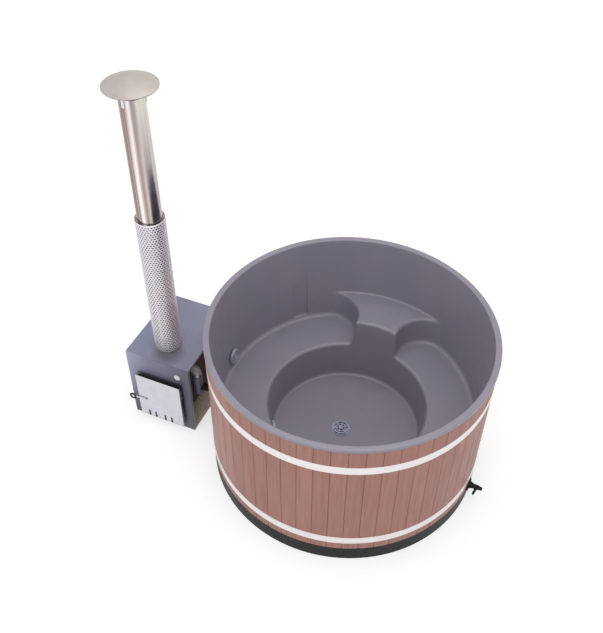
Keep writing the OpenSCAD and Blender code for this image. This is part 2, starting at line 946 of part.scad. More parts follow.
// Two pipe stubs on the boiler's tub side, cut flush with its skin
module boiler_ports() {
  color(steel_bright)
  intersection() {
    union() {
      outward(inlet_az, inlet_z, -jacket_x[1] - port_len) ring(fit_r, fit_bore, port_len + 20);
      outward(union_az, port_z, riser_r + elbow_r) ring(fit_r, fit_bore, 60);
    }
    block([jacket_x[1] + 0.1, -far, 0], [0, far, far]);
  }
}

// Nine loose bars that lie on two rails
module grate() {
  rail_z = [106, 120];
  bar_x = [for (i = [0:8]) box_x[0] + 25 + i * 28];
  color(cast_black) {
    for (x = bar_x) block([x, -290, rail_z[1] + weld], [x + 10, 190, rail_z[1] + 18]);
    for (y = [-270, 150]) block([box_x[0] + 8, y, rail_z[0]], [box_x[1] - 8, y + 20, rail_z[1]]);
  }
}

// --- door -------------------------------------------------------------------------------

module door_frame() {
  w = frame_w;
  color(casing_grey) {
    difference() {
      block([mouth_l - w, casing_front_y - frame_d, mouth_low - w],
            [mouth_r + w, casing_front_y, mouth_high + w]);
      mouth_cut(casing_front_y - frame_d - 1, casing_front_y + 1);
    }
    block([mouth_l, casing_front_y - 1, latch_z - 15], [mouth_l + 8, casing_front_y + 14, latch_z + 15]);
  }
}

// A bracket behind each hinge, with a knuckle above and below the door's own
module hinge_brackets() {
  arm = 12;
  color(casing_grey)
  for (z = hinge_zs, level = [-arm - 0.3, knuckle_h + 0.3])
    translate([hinge_x, hinge_y, z + level])
      difference() {
        union() {
          cylinder(r = knuckle_r, h = arm);
          block([-4, 0, 0], [4, casing_front_y - hinge_y, arm]);
        }
        translate([0, 0, -1]) cylinder(r = pin_r + running, h = arm + 2);
      }
}

module hinge_pins() {
  color(steel_bright)
  for (z = hinge_zs)
    translate([hinge_x, hinge_y, z]) {
      translate([0, 0, -14]) cylinder(r = pin_r, h = knuckle_h + 28);
      translate([0, 0, knuckle_h + 12.6]) cylinder(r = pin_r + 2, h = 3);
    }
}

// Inner door plate with its two hinge ears
module door_plate() {
  back_y = casing_front_y - frame_d - seal_d;
  color(cast_black)
  difference() {
    union() {
      block([door_x[0], back_y - door_t, door_z[0]], [door_x[1], back_y, door_z[1]]);
      for (z = hinge_zs) {
        block([door_x[1] - 1, back_y - door_t + 0.7, z], [hinge_x, back_y, z + knuckle_h]);
        translate([hinge_x, hinge_y, z]) cylinder(r = knuckle_r, h = knuckle_h);
      }
    }
    for (z = hinge_zs)
      translate([hinge_x, hinge_y, z - 1]) cylinder(r = pin_r + running, h = knuckle_h + 2);
    latch_axis(casing_front_y) cylinder(r = spindle_r + 0.02, h = 60);
  }
}

// Flat rope seal between the door plate and the frame
module door_seal() {
  y_back = casing_front_y - frame_d;
  color(white_enamel)
  difference() {
    block([mouth_l - 12, y_back - seal_d, mouth_low - 12], [mouth_r + 12, y_back, mouth_high + 12]);
    mouth_cut(y_back - seal_d - 1, y_back + 1);
  }
}

module shield_spacers() {
  plate_y = casing_front_y - frame_d - seal_d - door_t;
  face_in = shield_face_y + shield_sheet;
  color(steel_dull)
  for (x = [door_x[0] + 25, door_x[1] - 25], z = [door_z[0] + 62, door_z[1] - 25])
    translate([x, plate_y, z]) rotate([90, 0, 0]) cylinder(r = 6, h = plate_y - face_in);
}

// Stainless tray, open at the top, in front of the door, with four air slots near its foot
module door_shield() {
  left = shield_mid_x - shield_w / 2;
  right = shield_mid_x + shield_w / 2;
  top = shield_low + shield_h;
  s = shield_sheet;
  color(steel_bright)
  difference() {
    block([left, shield_face_y, shield_low], [right, shield_back_y, top]);
    block([left + s, shield_face_y + s, shield_low + s], [right - s, shield_back_y + 1, top + 1]);
    for (x = slot_xs)
      block([x - slot_w / 2, shield_face_y - 1, slot_mid_z - slot_h / 2],
            [x + slot_w / 2, shield_face_y + s + 1, slot_mid_z + slot_h / 2]);
    latch_axis(shield_back_y) cylinder(r = spindle_r + 1, h = 40);
  }
}

// Puts a shape that is drawn along +Z on the latch's axis, running out of the door from y
module latch_axis(y) {
  translate([latch_x, y, latch_z]) rotate([90, 0, 0]) children();
}

module latch_spindle() {
  end_y = shield_face_y - bar_gap - bar_t - 1;
  color(steel_bright)
  latch_axis(casing_front_y + 12) cylinder(r = spindle_r, h = casing_front_y + 12 - end_y);
}

// Flat bar across the shield, from the spindle to the grip beside the door
module latch_bar() {
  back_y = shield_face_y - bar_gap;
  color(steel_bright)
  difference() {
    union() {
      block([latch_x - bar_len, back_y - bar_t, latch_z - 6], [latch_x, back_y, latch_z + 6]);
      latch_axis(back_y) cylinder(r = 9, h = bar_t);
    }
    latch_axis(back_y + 1) cylinder(r = spindle_r + 0.02, h = bar_t + 2);
  }
}

// Black loop with a notch that takes the end of the bar
module latch_grip() {
  notch = 8;
  half = bar_t / 2 + 0.1;
  color(plastic_black)
  translate([latch_x - bar_len - grip_r + notch - 1, shield_face_y - bar_gap - bar_t / 2, latch_z - 6])
    difference() {
      rotate([90, 0, 0]) rotate_extrude() translate([grip_r - grip_wire, 0]) circle(r = grip_wire, $fn = 24);
      block([grip_r - notch, -half, 0], [grip_r + 1, half, 12.1]);
    }
}

// Cam on the inner end of the spindle, just short of its keeper
module latch_cam() {
  color(steel_dull)
  difference() {
    union() {
      translate([latch_x - cam_len, casing_front_y + 6, latch_z - 7]) cube([cam_len, 6, 14]);
      latch_axis(casing_front_y + 12) cylinder(r = 10, h = 6);
    }
    latch_axis(casing_front_y + 20) cylinder(r = spindle_r + 0.02, h = 20);
  }
}

// --- flue -----------------------------------------------------------------------------------

module flue_pipe() {
  low = jacket_z[1] + 1;
  color(steel_bright)
  at_flue(low) ring(flue_r, flue_r - flue_t, flue_top_z - low);
}

module flue_guard() {
  color(steel_bright)
  at_flue(casing_h + 0.3) ring(guard_r, guard_r - guard_t, guard_top_z - casing_h - 0.3);
}

// Bent tabs that hold the guard off the pipe
module guard_spacers() {
  color(steel_dull)
  for (z = spacer_zs, az = [60, 180, 300])
    at_flue(z) rotate([0, 0, az])
      block([flue_r + 0.3, -8, 0], [guard_r - guard_t - 0.3, 8, 24]);
}

// Low cone with a rolled edge
module rain_cap() {
  color(steel_bright)
  at_flue(cap_z)
    rotate_extrude()
      polygon([
        [0, cap_rise], [cap_r, cap_t], [cap_r, -6], [cap_r - cap_t, -6],
        [cap_r - cap_t, 0], [0, cap_rise - cap_t]
      ]);
}

// Flat straps from the pipe's mouth up to the underside of the cap
module cap_straps() {
  color(steel_bright)
  for (az = strap_azs)
    at_flue(flue_top_z) rotate([0, 0, az]) {
      block([flue_r + 0.1, -strap_w / 2, -45], [flue_r + 0.1 + strap_t, strap_w / 2, cap_gap + 8]);
      block([flue_r - 6, -strap_w / 2, cap_gap + 6], [flue_r + 0.1 + strap_t, strap_w / 2, cap_gap + 8]);
    }
}

base_board();
plinth_ring();
joists();
floor_deck();
bench_posts();
liner();
staves();
pierced_staves();
hoop_upper();
hoop_lower();
hoop_bolts();
wall_fittings();
inlet_grille();
outlet_grille();
fitting_gaskets();
fitting_nuts();
wall_union();
under_bench_hose();
flow_hose();
return_tee();
return_hose();
hose_clamps();
drain_flange();
drain_cover();
drain_pipe();
valve_gasket();
valve_flange();
valve_body();
valve_ball();
valve_stem();
valve_lever();
hose_tail();
heater_feet();
casing_floor();
casing_front();
casing_left();
casing_back();
casing_top();
front_disc();
boiler_rails();
firebox();
water_jacket();
boiler_ports();
grate();
door_frame();
hinge_brackets();
hinge_pins();
door_plate();
door_seal();
shield_spacers();
door_shield();
latch_spindle();
latch_bar();
latch_grip();
latch_cam();
flue_pipe();
flue_guard();
guard_spacers();
rain_cap();
cap_straps();
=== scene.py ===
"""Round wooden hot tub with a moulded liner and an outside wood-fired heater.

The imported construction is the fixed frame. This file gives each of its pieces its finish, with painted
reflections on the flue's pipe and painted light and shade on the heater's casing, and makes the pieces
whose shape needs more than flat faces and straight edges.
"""

import json
import math

import bmesh
import bpy
import numpy as np
from bpy.props import FloatProperty, FloatVectorProperty, IntProperty, PointerProperty
from bpy.types import Operator, Panel, PropertyGroup
from mathutils import Matrix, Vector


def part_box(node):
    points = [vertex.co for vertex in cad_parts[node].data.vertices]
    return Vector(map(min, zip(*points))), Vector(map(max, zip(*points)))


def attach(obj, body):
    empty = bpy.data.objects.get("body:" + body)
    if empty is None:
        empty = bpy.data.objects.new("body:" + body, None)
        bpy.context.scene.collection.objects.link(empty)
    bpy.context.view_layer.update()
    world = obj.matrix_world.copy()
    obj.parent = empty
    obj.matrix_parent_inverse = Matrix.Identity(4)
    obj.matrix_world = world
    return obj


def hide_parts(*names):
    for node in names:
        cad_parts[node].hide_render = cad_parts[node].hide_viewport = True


bl_info = {
    "name": "Wooden hot tub",
    "version": (1, 0, 0),
    "blender": (4, 5, 0),
    "location": "3D View > Sidebar > Hot tub",
    "description": "Makes the visible pieces of a wooden hot tub with a wood-fired heater",
    "category": "Object",
}

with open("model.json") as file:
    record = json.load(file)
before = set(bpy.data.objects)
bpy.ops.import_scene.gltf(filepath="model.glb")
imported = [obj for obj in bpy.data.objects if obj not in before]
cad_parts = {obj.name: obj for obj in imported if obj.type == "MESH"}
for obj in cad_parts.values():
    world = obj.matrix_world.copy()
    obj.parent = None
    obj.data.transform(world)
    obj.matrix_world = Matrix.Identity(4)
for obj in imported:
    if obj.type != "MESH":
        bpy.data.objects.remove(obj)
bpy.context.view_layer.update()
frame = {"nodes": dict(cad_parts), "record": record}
CAD = frame["nodes"]
BODY_OF = {node: body for body, nodes in frame["record"]["behaviour"]["bodies"].items() for node in nodes}
MM = 0.001
# Points that are this near to each other, and faces whose planes are this near, are joined up in a copy
SAME_POINT, SAME_PLANE = 1e-6, math.radians(0.2)
# How many columns go round the flue's pipe and its cap
FLUE_COLUMNS = 128
# Where the camera stands, where the lamps look, and how far the floor goes
CAMERA_PLACE = (1.10406, -3.39794, 4.70424)
AIM = (-0.2, 0.0, 0.6)
FLOOR_REACH = 30.0
# How bright the floor looks in full light near the tub and far away, and between which distances it changes
GLOW_LEVELS, GLOW_REACH = (1.22, 1.4), (3, 8)
# Each lamp's name, the setting that holds its strength, its place and its width
LAMPS = (
    ("top_lamp", "top", (-0.1, 0.6, 5.6), 3.6), ("front_lamp", "front", (0.6, -5.4, 3.6), 3.6),
    ("left_lamp", "side", (-5.0, -2.6, 3.0), 3.4), ("right_lamp", "side", (5.0, -2.6, 3.0), 3.4))


# --- what a user would change ---


def length(name, default, description):
    """A property that holds a length in metres."""
    return FloatProperty(name=name, description=description, default=default, unit="LENGTH", precision=4)


def turned(name, default, description):
    """A property that holds an angle, whose default is given in degrees."""
    return FloatProperty(name=name, description=description, default=math.radians(default), subtype="ANGLE")


def share(name, default, description):
    """A property that holds a part of a whole."""
    return FloatProperty(name=name, description=description, default=default, min=0, max=1, subtype="FACTOR")


def brightness(name, default, description):
    """A property that holds the strength of a light."""
    return FloatProperty(name=name, description=description, default=default, min=0)


def counted(name, default, least, description):
    """A property that counts something."""
    return IntProperty(name=name, description=description, default=default, min=least)


def linear(level):
    """A colour level of 0 to 255 as it shows on a screen, as a share of full light."""
    level = level / 255
    return level / 12.92 if level <= 0.04045 else ((level + 0.055) / 1.055) ** 2.4


def tone(name, red, green, blue, description):
    """A property that holds a colour, whose default is given in levels of 0 to 255."""
    return FloatVectorProperty(name=name, description=description, min=0, max=1, subtype="COLOR",
                               default=(linear(red), linear(green), linear(blue)))


def top_of(node):
    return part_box(node)[1].z


def foot_of(node):
    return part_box(node)[0].z


class StaveSizes(PropertyGroup):
    radius: length("Outer radius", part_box("staves")[1].x, "Radius of the outside of the staves")
    thickness: length("Thickness", 0.027, "Thickness of a stave")
    count: counted("Staves", 58, 12, "Number of staves round the tub")
    phase: turned("First joint", 4.45, "Angle of the first joint between staves")
    gap: length("Joint", 0.001, "Width of the gap between two staves")
    bevel: length("Bevel", 0.0028, "Width of the bevel along each edge of a stave")
    groove: length("Groove", 0.0026, "Depth of the bevel along each edge of a stave")


class LinerSizes(PropertyGroup):
    shell: length("Shell", 0.005, "Thickness of the moulded shell")
    floor_z: length("Floor", 0.165, "Height of the foot well's floor")
    bench_z: length("Bench", 0.445, "Height of the bench")
    step_z: length("Step", 0.650, "Height of the entry step")
    rim_z: length("Rim", top_of("liner"), "Height of the rim")
    rim_r: length("Rim radius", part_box("liner")[1].x, "Outer radius of the rim's lip")
    lip: length("Lip", 0.020, "Height of the lip that covers the staves' ends")
    well_r: length("Well radius", 0.498, "Radius of the foot well at its floor")
    well_lean: share("Well lean", 0.085, "How far the foot well opens for each unit of height")
    wall_r: length("Wall radius", 0.861, "Radius of the wall at the rim")
    wall_lean: share("Wall lean", 0.0412, "How far the wall opens for each unit of height")
    floor_fillet: length("Floor fillet", 0.022, "Radius where the floor meets the foot well's wall")
    bench_fillet: length("Bench fillet", 0.030, "Radius where the bench meets the wall and the step's flanks")
    top_fillet: length("Step top fillet", 0.014, "Radius where the step's top meets the wall")
    bench_edge: length("Bench edge", 0.022, "Radius of the bench's front edge")
    step_edge: length("Step edge", 0.018, "Radius of the step's edges")
    step_half: length("Step half width", 0.160, "Half the width of the step at the bench")
    step_lean: share("Step lean", 0.0634, "How far each flank of the step leans in for each unit of height")
    curve_x: length("Curve centre X", 0.356, "Distance of the hollow curve's centre from the step's middle")
    curve_y: length("Curve centre Y", 0.540, "Distance of the hollow curve's centre from the tub's axis")
    pad_az: turned("Pad", 138.7, "Angle that the flat upright pad in the wall faces")
    pad_shift: length("Pad shift", -0.058, "Distance of the pad's middle from the line that it faces along")
    pad_half: length("Pad half width", 0.0525, "Half the width of the pad")
    pad_z: length("Pad foot", 0.470, "Height of the pad's foot")
    pad_r: length("Pad distance", 0.8475, "Distance of the pad's face from the tub's axis")


class FlueSizes(PropertyGroup):
    x: length("Flue X", -1.245, "Place of the flue along X")
    y: length("Flue Y", -0.142, "Place of the flue along Y")
    pipe_r: length("Pipe radius", 0.075, "Outer radius of the pipe")
    guard_r: length("Guard radius", 0.091, "Outer radius of the perforated guard")
    cap_r: length("Cap radius", 0.153, "Radius of the rain cap")
    sheet: length("Sheet", 0.0015, "Thickness of the flue's sheet")
    hole_r: length("Hole radius", 0.0051, "Radius of a hole in the guard")
    hole_columns: counted("Columns", 30, 8, "Holes in one row round the guard")


class FinishTones(PropertyGroup):
    wood: tone("Stave wood", 180, 128, 117, "Middle colour of the oiled staves")
    wood_dark: tone("Stave grain", 148, 98, 88, "Colour of the dark grain in the staves")
    raw: tone("Raw wood", 200, 170, 126, "Colour of the hidden timber")
    shell: tone("Liner", 152, 147, 162, "Colour of the moulded liner")
    bright: tone("Stainless steel", 226, 224, 224, "Colour of bright stainless steel")
    dull: tone("Mill steel", 128, 126, 130, "Colour of plain steel")
    soot: tone("Boiler", 74, 58, 54, "Colour of the boiler's heat-dark skin")
    casing: tone("Casing", 143, 146, 170, "Colour of the heater's painted casing")
    fitting: tone("Fittings", 184, 187, 206, "Colour of the water fittings")
    slate: tone("Slate plastic", 122, 124, 144, "Colour of the return's tee")
    zinc: tone("Casing floor", 240, 226, 210, "Colour of the casing's floor")
    black: tone("Black plastic", 24, 24, 23, "Colour of the black plastic parts")
    hose: tone("Hoses", 190, 194, 208, "Colour of the hoses")
    iron: tone("Cast iron", 40, 38, 38, "Colour of the grate and the inner door")
    enamel: tone("Enamel", 250, 246, 250, "Colour of the white disc")
    rope: tone("Rope seal", 214, 210, 200, "Colour of the door's rope seal")


class StudioSizes(PropertyGroup):
    sky: brightness("Sky", 0.5, "Strength of the even light from all round")
    top: brightness("Top lamp", 0.65, "Strength of the large lamp over the tub")
    front: brightness("Front lamp", 0.37, "Strength of the lamp in front")
    side: brightness("Side lamps", 0.16, "Strength of the lamps at the sides")
    bounce: share("Floor bounce", 0.7, "Share of the light that the floor throws back up")
    shadow: share("Floor shadow", 0.6, "How much of the floor's look comes from the light on it")
    lens: FloatProperty(name="Lens", description="Focal length of the camera in millimetres", default=47.57)
    heading: turned("Heading", 112.904, "Direction the camera looks, counted from +X")
    dip: turned("Dip", 44.355, "How far the camera looks down")
    roll: turned("Roll", 0.544, "How far the camera leans")


# --- building meshes ---


def grid_faces(rows, columns, closed_rows=False):
    """Quads between neighbours of a grid of points, whose last column, and row if asked, joins its first."""
    index = np.arange(rows * columns).reshape(rows, columns)
    beside, above = np.roll(index, -1, axis=1), np.roll(index, -1, axis=0)
    quads = np.stack([index, beside, np.roll(above, -1, axis=1), above], axis=-1)
    return (quads if closed_rows else quads[:-1]).reshape(-1, 4)


def ring_pair(columns):
    """The numbers of a closed ring's points, and of the point after each."""
    ring = np.arange(columns)
    return ring, np.roll(ring, -1)


def band(ring, after, low, high):
    """Quads from a ring that starts at point number low up to one that starts at high."""
    return np.stack([low + ring, low + after, high + after, high + ring], axis=-1)


def fill_mesh(mesh, points, faces):
    """Puts the points, and arrays of faces with equal numbers of corners, into the mesh."""
    corners = np.concatenate([group.ravel() for group in faces]).astype(np.int32)
    sides = np.concatenate([np.full(len(group), group.shape[1]) for group in faces])
    starts = np.concatenate([[0], np.cumsum(sides)[:-1]]).astype(np.int32)
    mesh.vertices.add(len(points))
    mesh.vertices.foreach_set("co", np.ascontiguousarray(points, dtype=np.float32).ravel())
    mesh.loops.add(len(corners))
    mesh.loops.foreach_set("vertex_index", corners)
    mesh.polygons.add(len(starts))
    mesh.polygons.foreach_set("loop_start", starts)
    mesh.update(calc_edges=True)


def link(name, data):
    """A new object in the scene."""
    piece = bpy.data.objects.new(name, data)
    bpy.context.scene.collection.objects.link(piece)
    return piece


def place(piece, look, nodes, crease):
    """Gives a piece its finish and smooth shading, puts it on its nodes' body and hides those nodes."""
    piece.data.materials.clear()
    piece.data.materials.append(finish(look))
    piece.data.shade_smooth()
    piece.data.set_sharp_from_angle(angle=math.radians(crease))
    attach(piece, BODY_OF[nodes[0]])
    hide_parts(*nodes)


def new_piece(name, points, faces, look, nodes, crease, sheet=0.0):
    """A new object made of these points and faces, in place of these nodes.

    A sheet's thickness goes away from the side that its faces look to.
    """
    mesh = bpy.data.meshes.new(name)
    fill_mesh(mesh, np.asarray(points).reshape(-1, 3), faces)
    piece = link(name, mesh)
    place(piece, look, nodes, crease)
    if sheet:
        wall = piece.modifiers.new("sheet", "SOLIDIFY")
        wall.thickness = sheet
        wall.offset = -1
        wall.use_even_offset = True


def smooth_copy(node, look, bevel, segments=2, crease=30):
    """A copy of a node whose triangles are joined up, with smooth curves and its edges broken by a bevel."""
    mesh = CAD[node].data.copy()
    work = bmesh.new()
    work.from_mesh(mesh)
    bmesh.ops.remove_doubles(work, verts=work.verts, dist=SAME_POINT)
    bmesh.ops.dissolve_limit(work, angle_limit=SAME_PLANE, verts=work.verts, edges=work.edges)
    work.to_mesh(mesh)
    work.free()
    piece = link(node + "_piece", mesh)
    place(piece, look, [node], crease)
    if bevel:
        edge = piece.modifiers.new("broken edges", "BEVEL")
        edge.width = bevel
        edge.segments = segments
        edge.limit_method = "ANGLE"
        edge.angle_limit = math.radians(crease)
        edge.harden_normals = True
        edge.use_clamp_overlap = True


def arc(centre, radius, start, end, steps):
    """Points of an arc in a plane: the centre plus the radius times the cosine and sine of an even sweep."""
    angle = np.radians(np.linspace(start, end, steps + 1))
    return np.stack([centre[0] + radius * np.cos(angle), centre[1] + radius * np.sin(angle)], axis=1)


def turned_points(profile, columns, centre):
    """A profile of (radius, height) carried round an upright axis: x, y are the radius times cosine, sine."""
    angle = np.linspace(0, 2 * np.pi, columns, endpoint=False)
    radius, height = np.asarray(profile, dtype=float).T[:, :, None]
    x = centre[0] + radius * np.cos(angle)
    y = centre[1] + radius * np.sin(angle)
    return np.stack([x, y, height + 0 * x], axis=-1)


# --- mixing finishes ---


class Nodes:
    """A node tree, with short calls for what the finishes, the floor and the sky have in common."""

    def __init__(self, tree):
        self.tree = tree

    def put(self, socket, value):
        """Links a socket to an output, or sets it to a value."""
        if isinstance(value, bpy.types.NodeSocket):
            self.tree.links.new(value, socket)
        elif socket.type == "RGBA":
            socket.default_value = (*value, 1)
        else:
            socket.default_value = value

    def add(self, kind, inputs=(), **settings):
        """A new node with these settings, and with these values in its sockets, in their order or by name."""
        node = self.tree.nodes.new(kind)
        for setting, value in settings.items():
            setattr(node, setting, value)
        for socket, value in inputs.items() if isinstance(inputs, dict) else enumerate(inputs):
            self.put(node.inputs[socket], value)
        return node

    def maths(self, operation, first, second=0.0):
        return self.add("ShaderNodeMath", (first, second), operation=operation).outputs[0]

    def span(self, value, low, high, to_low=0.0, to_high=1.0):
        """The value brought from its own range to another one, and held within it."""
        return self.add("ShaderNodeMapRange", (value, low, high, to_low, to_high)).outputs[0]

    def seen(self):
        """A value that is 1 where the camera, a glossy surface or a clear one looks, and else 0."""
        path = self.add("ShaderNodeLightPath").outputs
        glossy = self.maths("MAXIMUM", path["Is Camera Ray"], path["Is Glossy Ray"])
        return self.maths("MAXIMUM", glossy, path["Is Transmission Ray"])


class Finish(Nodes):
    """A material in the making, with short calls for the nodes that these finishes need."""

    def __init__(self, name, colour, roughness, **sockets):
        self.material = bpy.data.materials.new(name)
        self.material.use_nodes = True
        super().__init__(self.material.node_tree)
        self.surface = self.tree.nodes["Principled BSDF"].inputs
        self.colour(colour)
        self.roughness(roughness)
        for socket, value in sockets.items():
            self.put(self.surface[socket.replace("_", " ")], value)
        self.spot = self.add("ShaderNodeTexCoord").outputs["Object"]

    def plus(self, first, second):
        return self.maths("ADD", first, second)

    def minus(self, first, second):
        return self.maths("SUBTRACT", first, second)

    def times(self, first, second):
        return self.maths("MULTIPLY", first, second)

    def hypotenuse(self, first, second):
        """The root of the sum of two squares."""
        return self.maths("SQRT", self.plus(self.times(first, first), self.times(second, second)))

    def axes(self, vector=None):
        return self.add("ShaderNodeSeparateXYZ", [vector or self.spot]).outputs

    def vector(self, x, y, z):
        return self.add("ShaderNodeCombineXYZ", (x, y, z)).outputs[0]

    def mapped(self, scale, location=(0, 0, 0), vector=None):
        places = {"Vector": vector or self.spot, "Location": location, "Scale": scale}
        return self.add("ShaderNodeMapping", places).outputs[0]

    def noise(self, scale, detail, rough=0.5, stretch=(1, 1, 1), bend=0.0, vector=None):
        """Cloudy noise between 0 and 1, with that many features to the metre along an unstretched axis."""
        spot = self.mapped(stretch, vector=vector)
        return self.add("ShaderNodeTexNoise", {
            "Vector": spot, "Scale": scale, "Detail": detail, "Roughness": rough, "Distortion": bend,
        }).outputs["Fac"]

    def chance(self, value):
        """The same random share for each whole number."""
        return self.add("ShaderNodeTexWhiteNoise", {"W": value}, noise_dimensions="1D").outputs["Value"]

    def blend(self, factor, first, second):
        """The first colour, and the second one where the factor is 1."""
        return self.add("ShaderNodeMix", {0: factor, 6: first, 7: second}, data_type="RGBA").outputs[2]

    def ramp(self, value, stops):
        """Colours that follow each other smoothly as the value rises, given as (place, colour) pairs."""
        node = self.add("ShaderNodeValToRGB", [value])
        marks = node.color_ramp.elements
        while len(marks) < len(stops):
            marks.new(0.5)
        for mark, (where, colour) in zip(marks, stops):
            mark.position = where
            mark.color = (*colour, 1)
        return node.outputs[0]

    def colour(self, value):
        self.put(self.surface["Base Color"], value)

    def roughness(self, value):
        self.put(self.surface["Roughness"], value)

    def relief(self, height, depth):
        """Lets the height stand out by that many metres, over any relief that is there already."""
        node = self.add("ShaderNodeBump", {"Strength": 1.0, "Distance": depth, "Height": height})
        normal = self.surface["Normal"]
        if normal.links:
            self.put(node.inputs["Normal"], normal.links[0].from_socket)
        self.put(normal, node.outputs[0])


def shaded(colour, *parts):
    """A colour made darker or lighter by one factor, or by one each for its red, green and blue."""
    parts = parts * 3 if len(parts) == 1 else parts
    return tuple(min(1.0, level * part) for level, part in zip(colour, parts))


# The usual range of a noise, from where it is thin to where it is thick
CLOUD_REACH = (0.35, 0.7)
FINE_BRUSHING = (1400, 2, 0.5, (0.02, 0.02, 1))
# Finishes of one tone, clouded between two shades of it. A cloud, and the skin that stands out where it isn't
# the cloud itself, is a noise given by its scale, detail, roughness, stretch and bend. Base changes the tone,
# reach says where the cloud starts and ends and how strong it is there, and gloss is the roughness along it.
CLOUDED = {
    # Sawn softwood with long grain
    "raw_timber": dict(
        tone="raw", rough=0.8, cloud=(60, 4, 0.5, (0.08, 1, 1), 0.5), shades=((1.08, 1.04, 1.0), (0.62,)),
        depth=0.0006),
    # Bright stainless sheet with fine level brushing and faint smears
    "brushed_steel": dict(
        tone="bright", base=(0.86, 0.87, 0.95), rough=0.34, Metallic=1.0, Anisotropic=0.3,
        cloud=(9, 4, 0.6, (1, 1, 1), 0.5), shades=((0.9,), (1.03, 1.02, 1.0)), gloss=(0.28, 0.42),
        skin=FINE_BRUSHING, depth=0.00004),
    # Rolled stainless band: pale and satin, with faint smears along it
    "hoop_steel": dict(
        tone="bright", base=(1.2,), rough=0.42, Metallic=0.7, cloud=(14, 4, 0.6, (1, 1, 4), 0.3),
        shades=((0.93, 0.90, 0.90), (1,)), gloss=(0.36, 0.5), skin=FINE_BRUSHING, depth=0.00003),
    # Plain steel with scale: grey, cloudy and dull
    "mill_steel": dict(
        tone="dull", rough=0.5, Metallic=0.9, cloud=(24, 5, 0.65, (1, 1, 1), 0.4),
        shades=((0.7,), (1.25,)), gloss=(0.42, 0.6), skin=(500, 2), depth=0.00006),
    # Heat-dark steel with a brown bloom
    "boiler_skin": dict(
        tone="soot", rough=0.7, Metallic=0.2, cloud=(12, 5, 0.6, (1, 1, 1), 0.5),
        shades=((0.6,), (1.7, 1.15, 1.0)), skin=(300, 3), depth=0.0001),
    # Moulded slate-grey plastic with a fine grain
    "fitting_plastic": dict(
        tone="fitting", rough=0.4, cloud=(40, 4), shades=((0.88,), (1.1,)), gloss=(0.34, 0.5),
        skin=(1500, 1), depth=0.00004),
    # Dark slate-grey pipe plastic with a faint sheen and fine scratches along it
    "slate_plastic": dict(
        tone="slate", rough=0.38, cloud=(160, 4, 0.6, (1, 1, 0.1)), reach=(0.45, 0.7),
        shades=((0.85,), (1.25,)), gloss=(0.32, 0.5), skin=(900, 1), depth=0.00004),
    # Matt black plastic with a moulded grain and pale scuffs
    "black_plastic": dict(
        tone="black", rough=0.5, Specular_IOR_Level=0.2, cloud=(55, 6, 0.7, (1, 1, 1), 0.7),
        reach=(0.55, 0.8, 0.0, 0.35), shades=((1,), (2.6,)), gloss=(0.42, 0.62), skin=(1300, 2),
        depth=0.00006),
    # Rubber hose with a cloth impression and a chalky bloom
    "hose_rubber": dict(
        tone="hose", rough=0.7, cloud=(30, 5, 0.6), shades=((0.8,), (1.12,)), skin=(700, 2), depth=0.0002),
    # Sand-cast iron, nearly black, with its grainy skin
    "cast_iron": dict(
        tone="iron", rough=0.68, Metallic=0.35, cloud=(420, 4, 0.6), reach=(0.4, 0.7),
        shades=((0.7,), (1.6, 1.4, 1.3)), depth=0.0004),
    # White enamel with a faint cloud and a glossy skin
    "white_enamel": dict(
        tone="enamel", rough=0.25, Coat_Weight=0.4, Coat_Roughness=0.1, cloud=(60, 3),
        shades=((0.94,), (1,)), skin=(500, 1), depth=0.00004),
    # Braided glass rope pressed flat
    "rope_seal": dict(
        tone="rope", rough=0.9, cloud=(450, 2, 0.5, (1, 1, 0.6)), reach=(0.4, 0.65),
        shades=((0.7,), (1,)), depth=0.0008),
}


def clouded(tones, name, tone, rough, cloud, shades, depth, base=(1,), reach=CLOUD_REACH, gloss=None,
            skin=None, **sockets):
    """A finish from one row of the table above."""
    colour = shaded(getattr(tones, tone), *base)
    mix = Finish(name, colour, rough, **sockets)
    noise = mix.noise(*cloud)
    mix.colour(mix.blend(mix.span(noise, *reach), *(shaded(colour, *shade) for shade in shades)))
    if gloss:
        mix.roughness(mix.span(noise, *CLOUD_REACH, *gloss))
    mix.relief(mix.noise(*skin) if skin else noise, depth)
    return mix


# How far apart two staves' pieces of the grain can lie, in metres
BOARDS_APART = 37.0


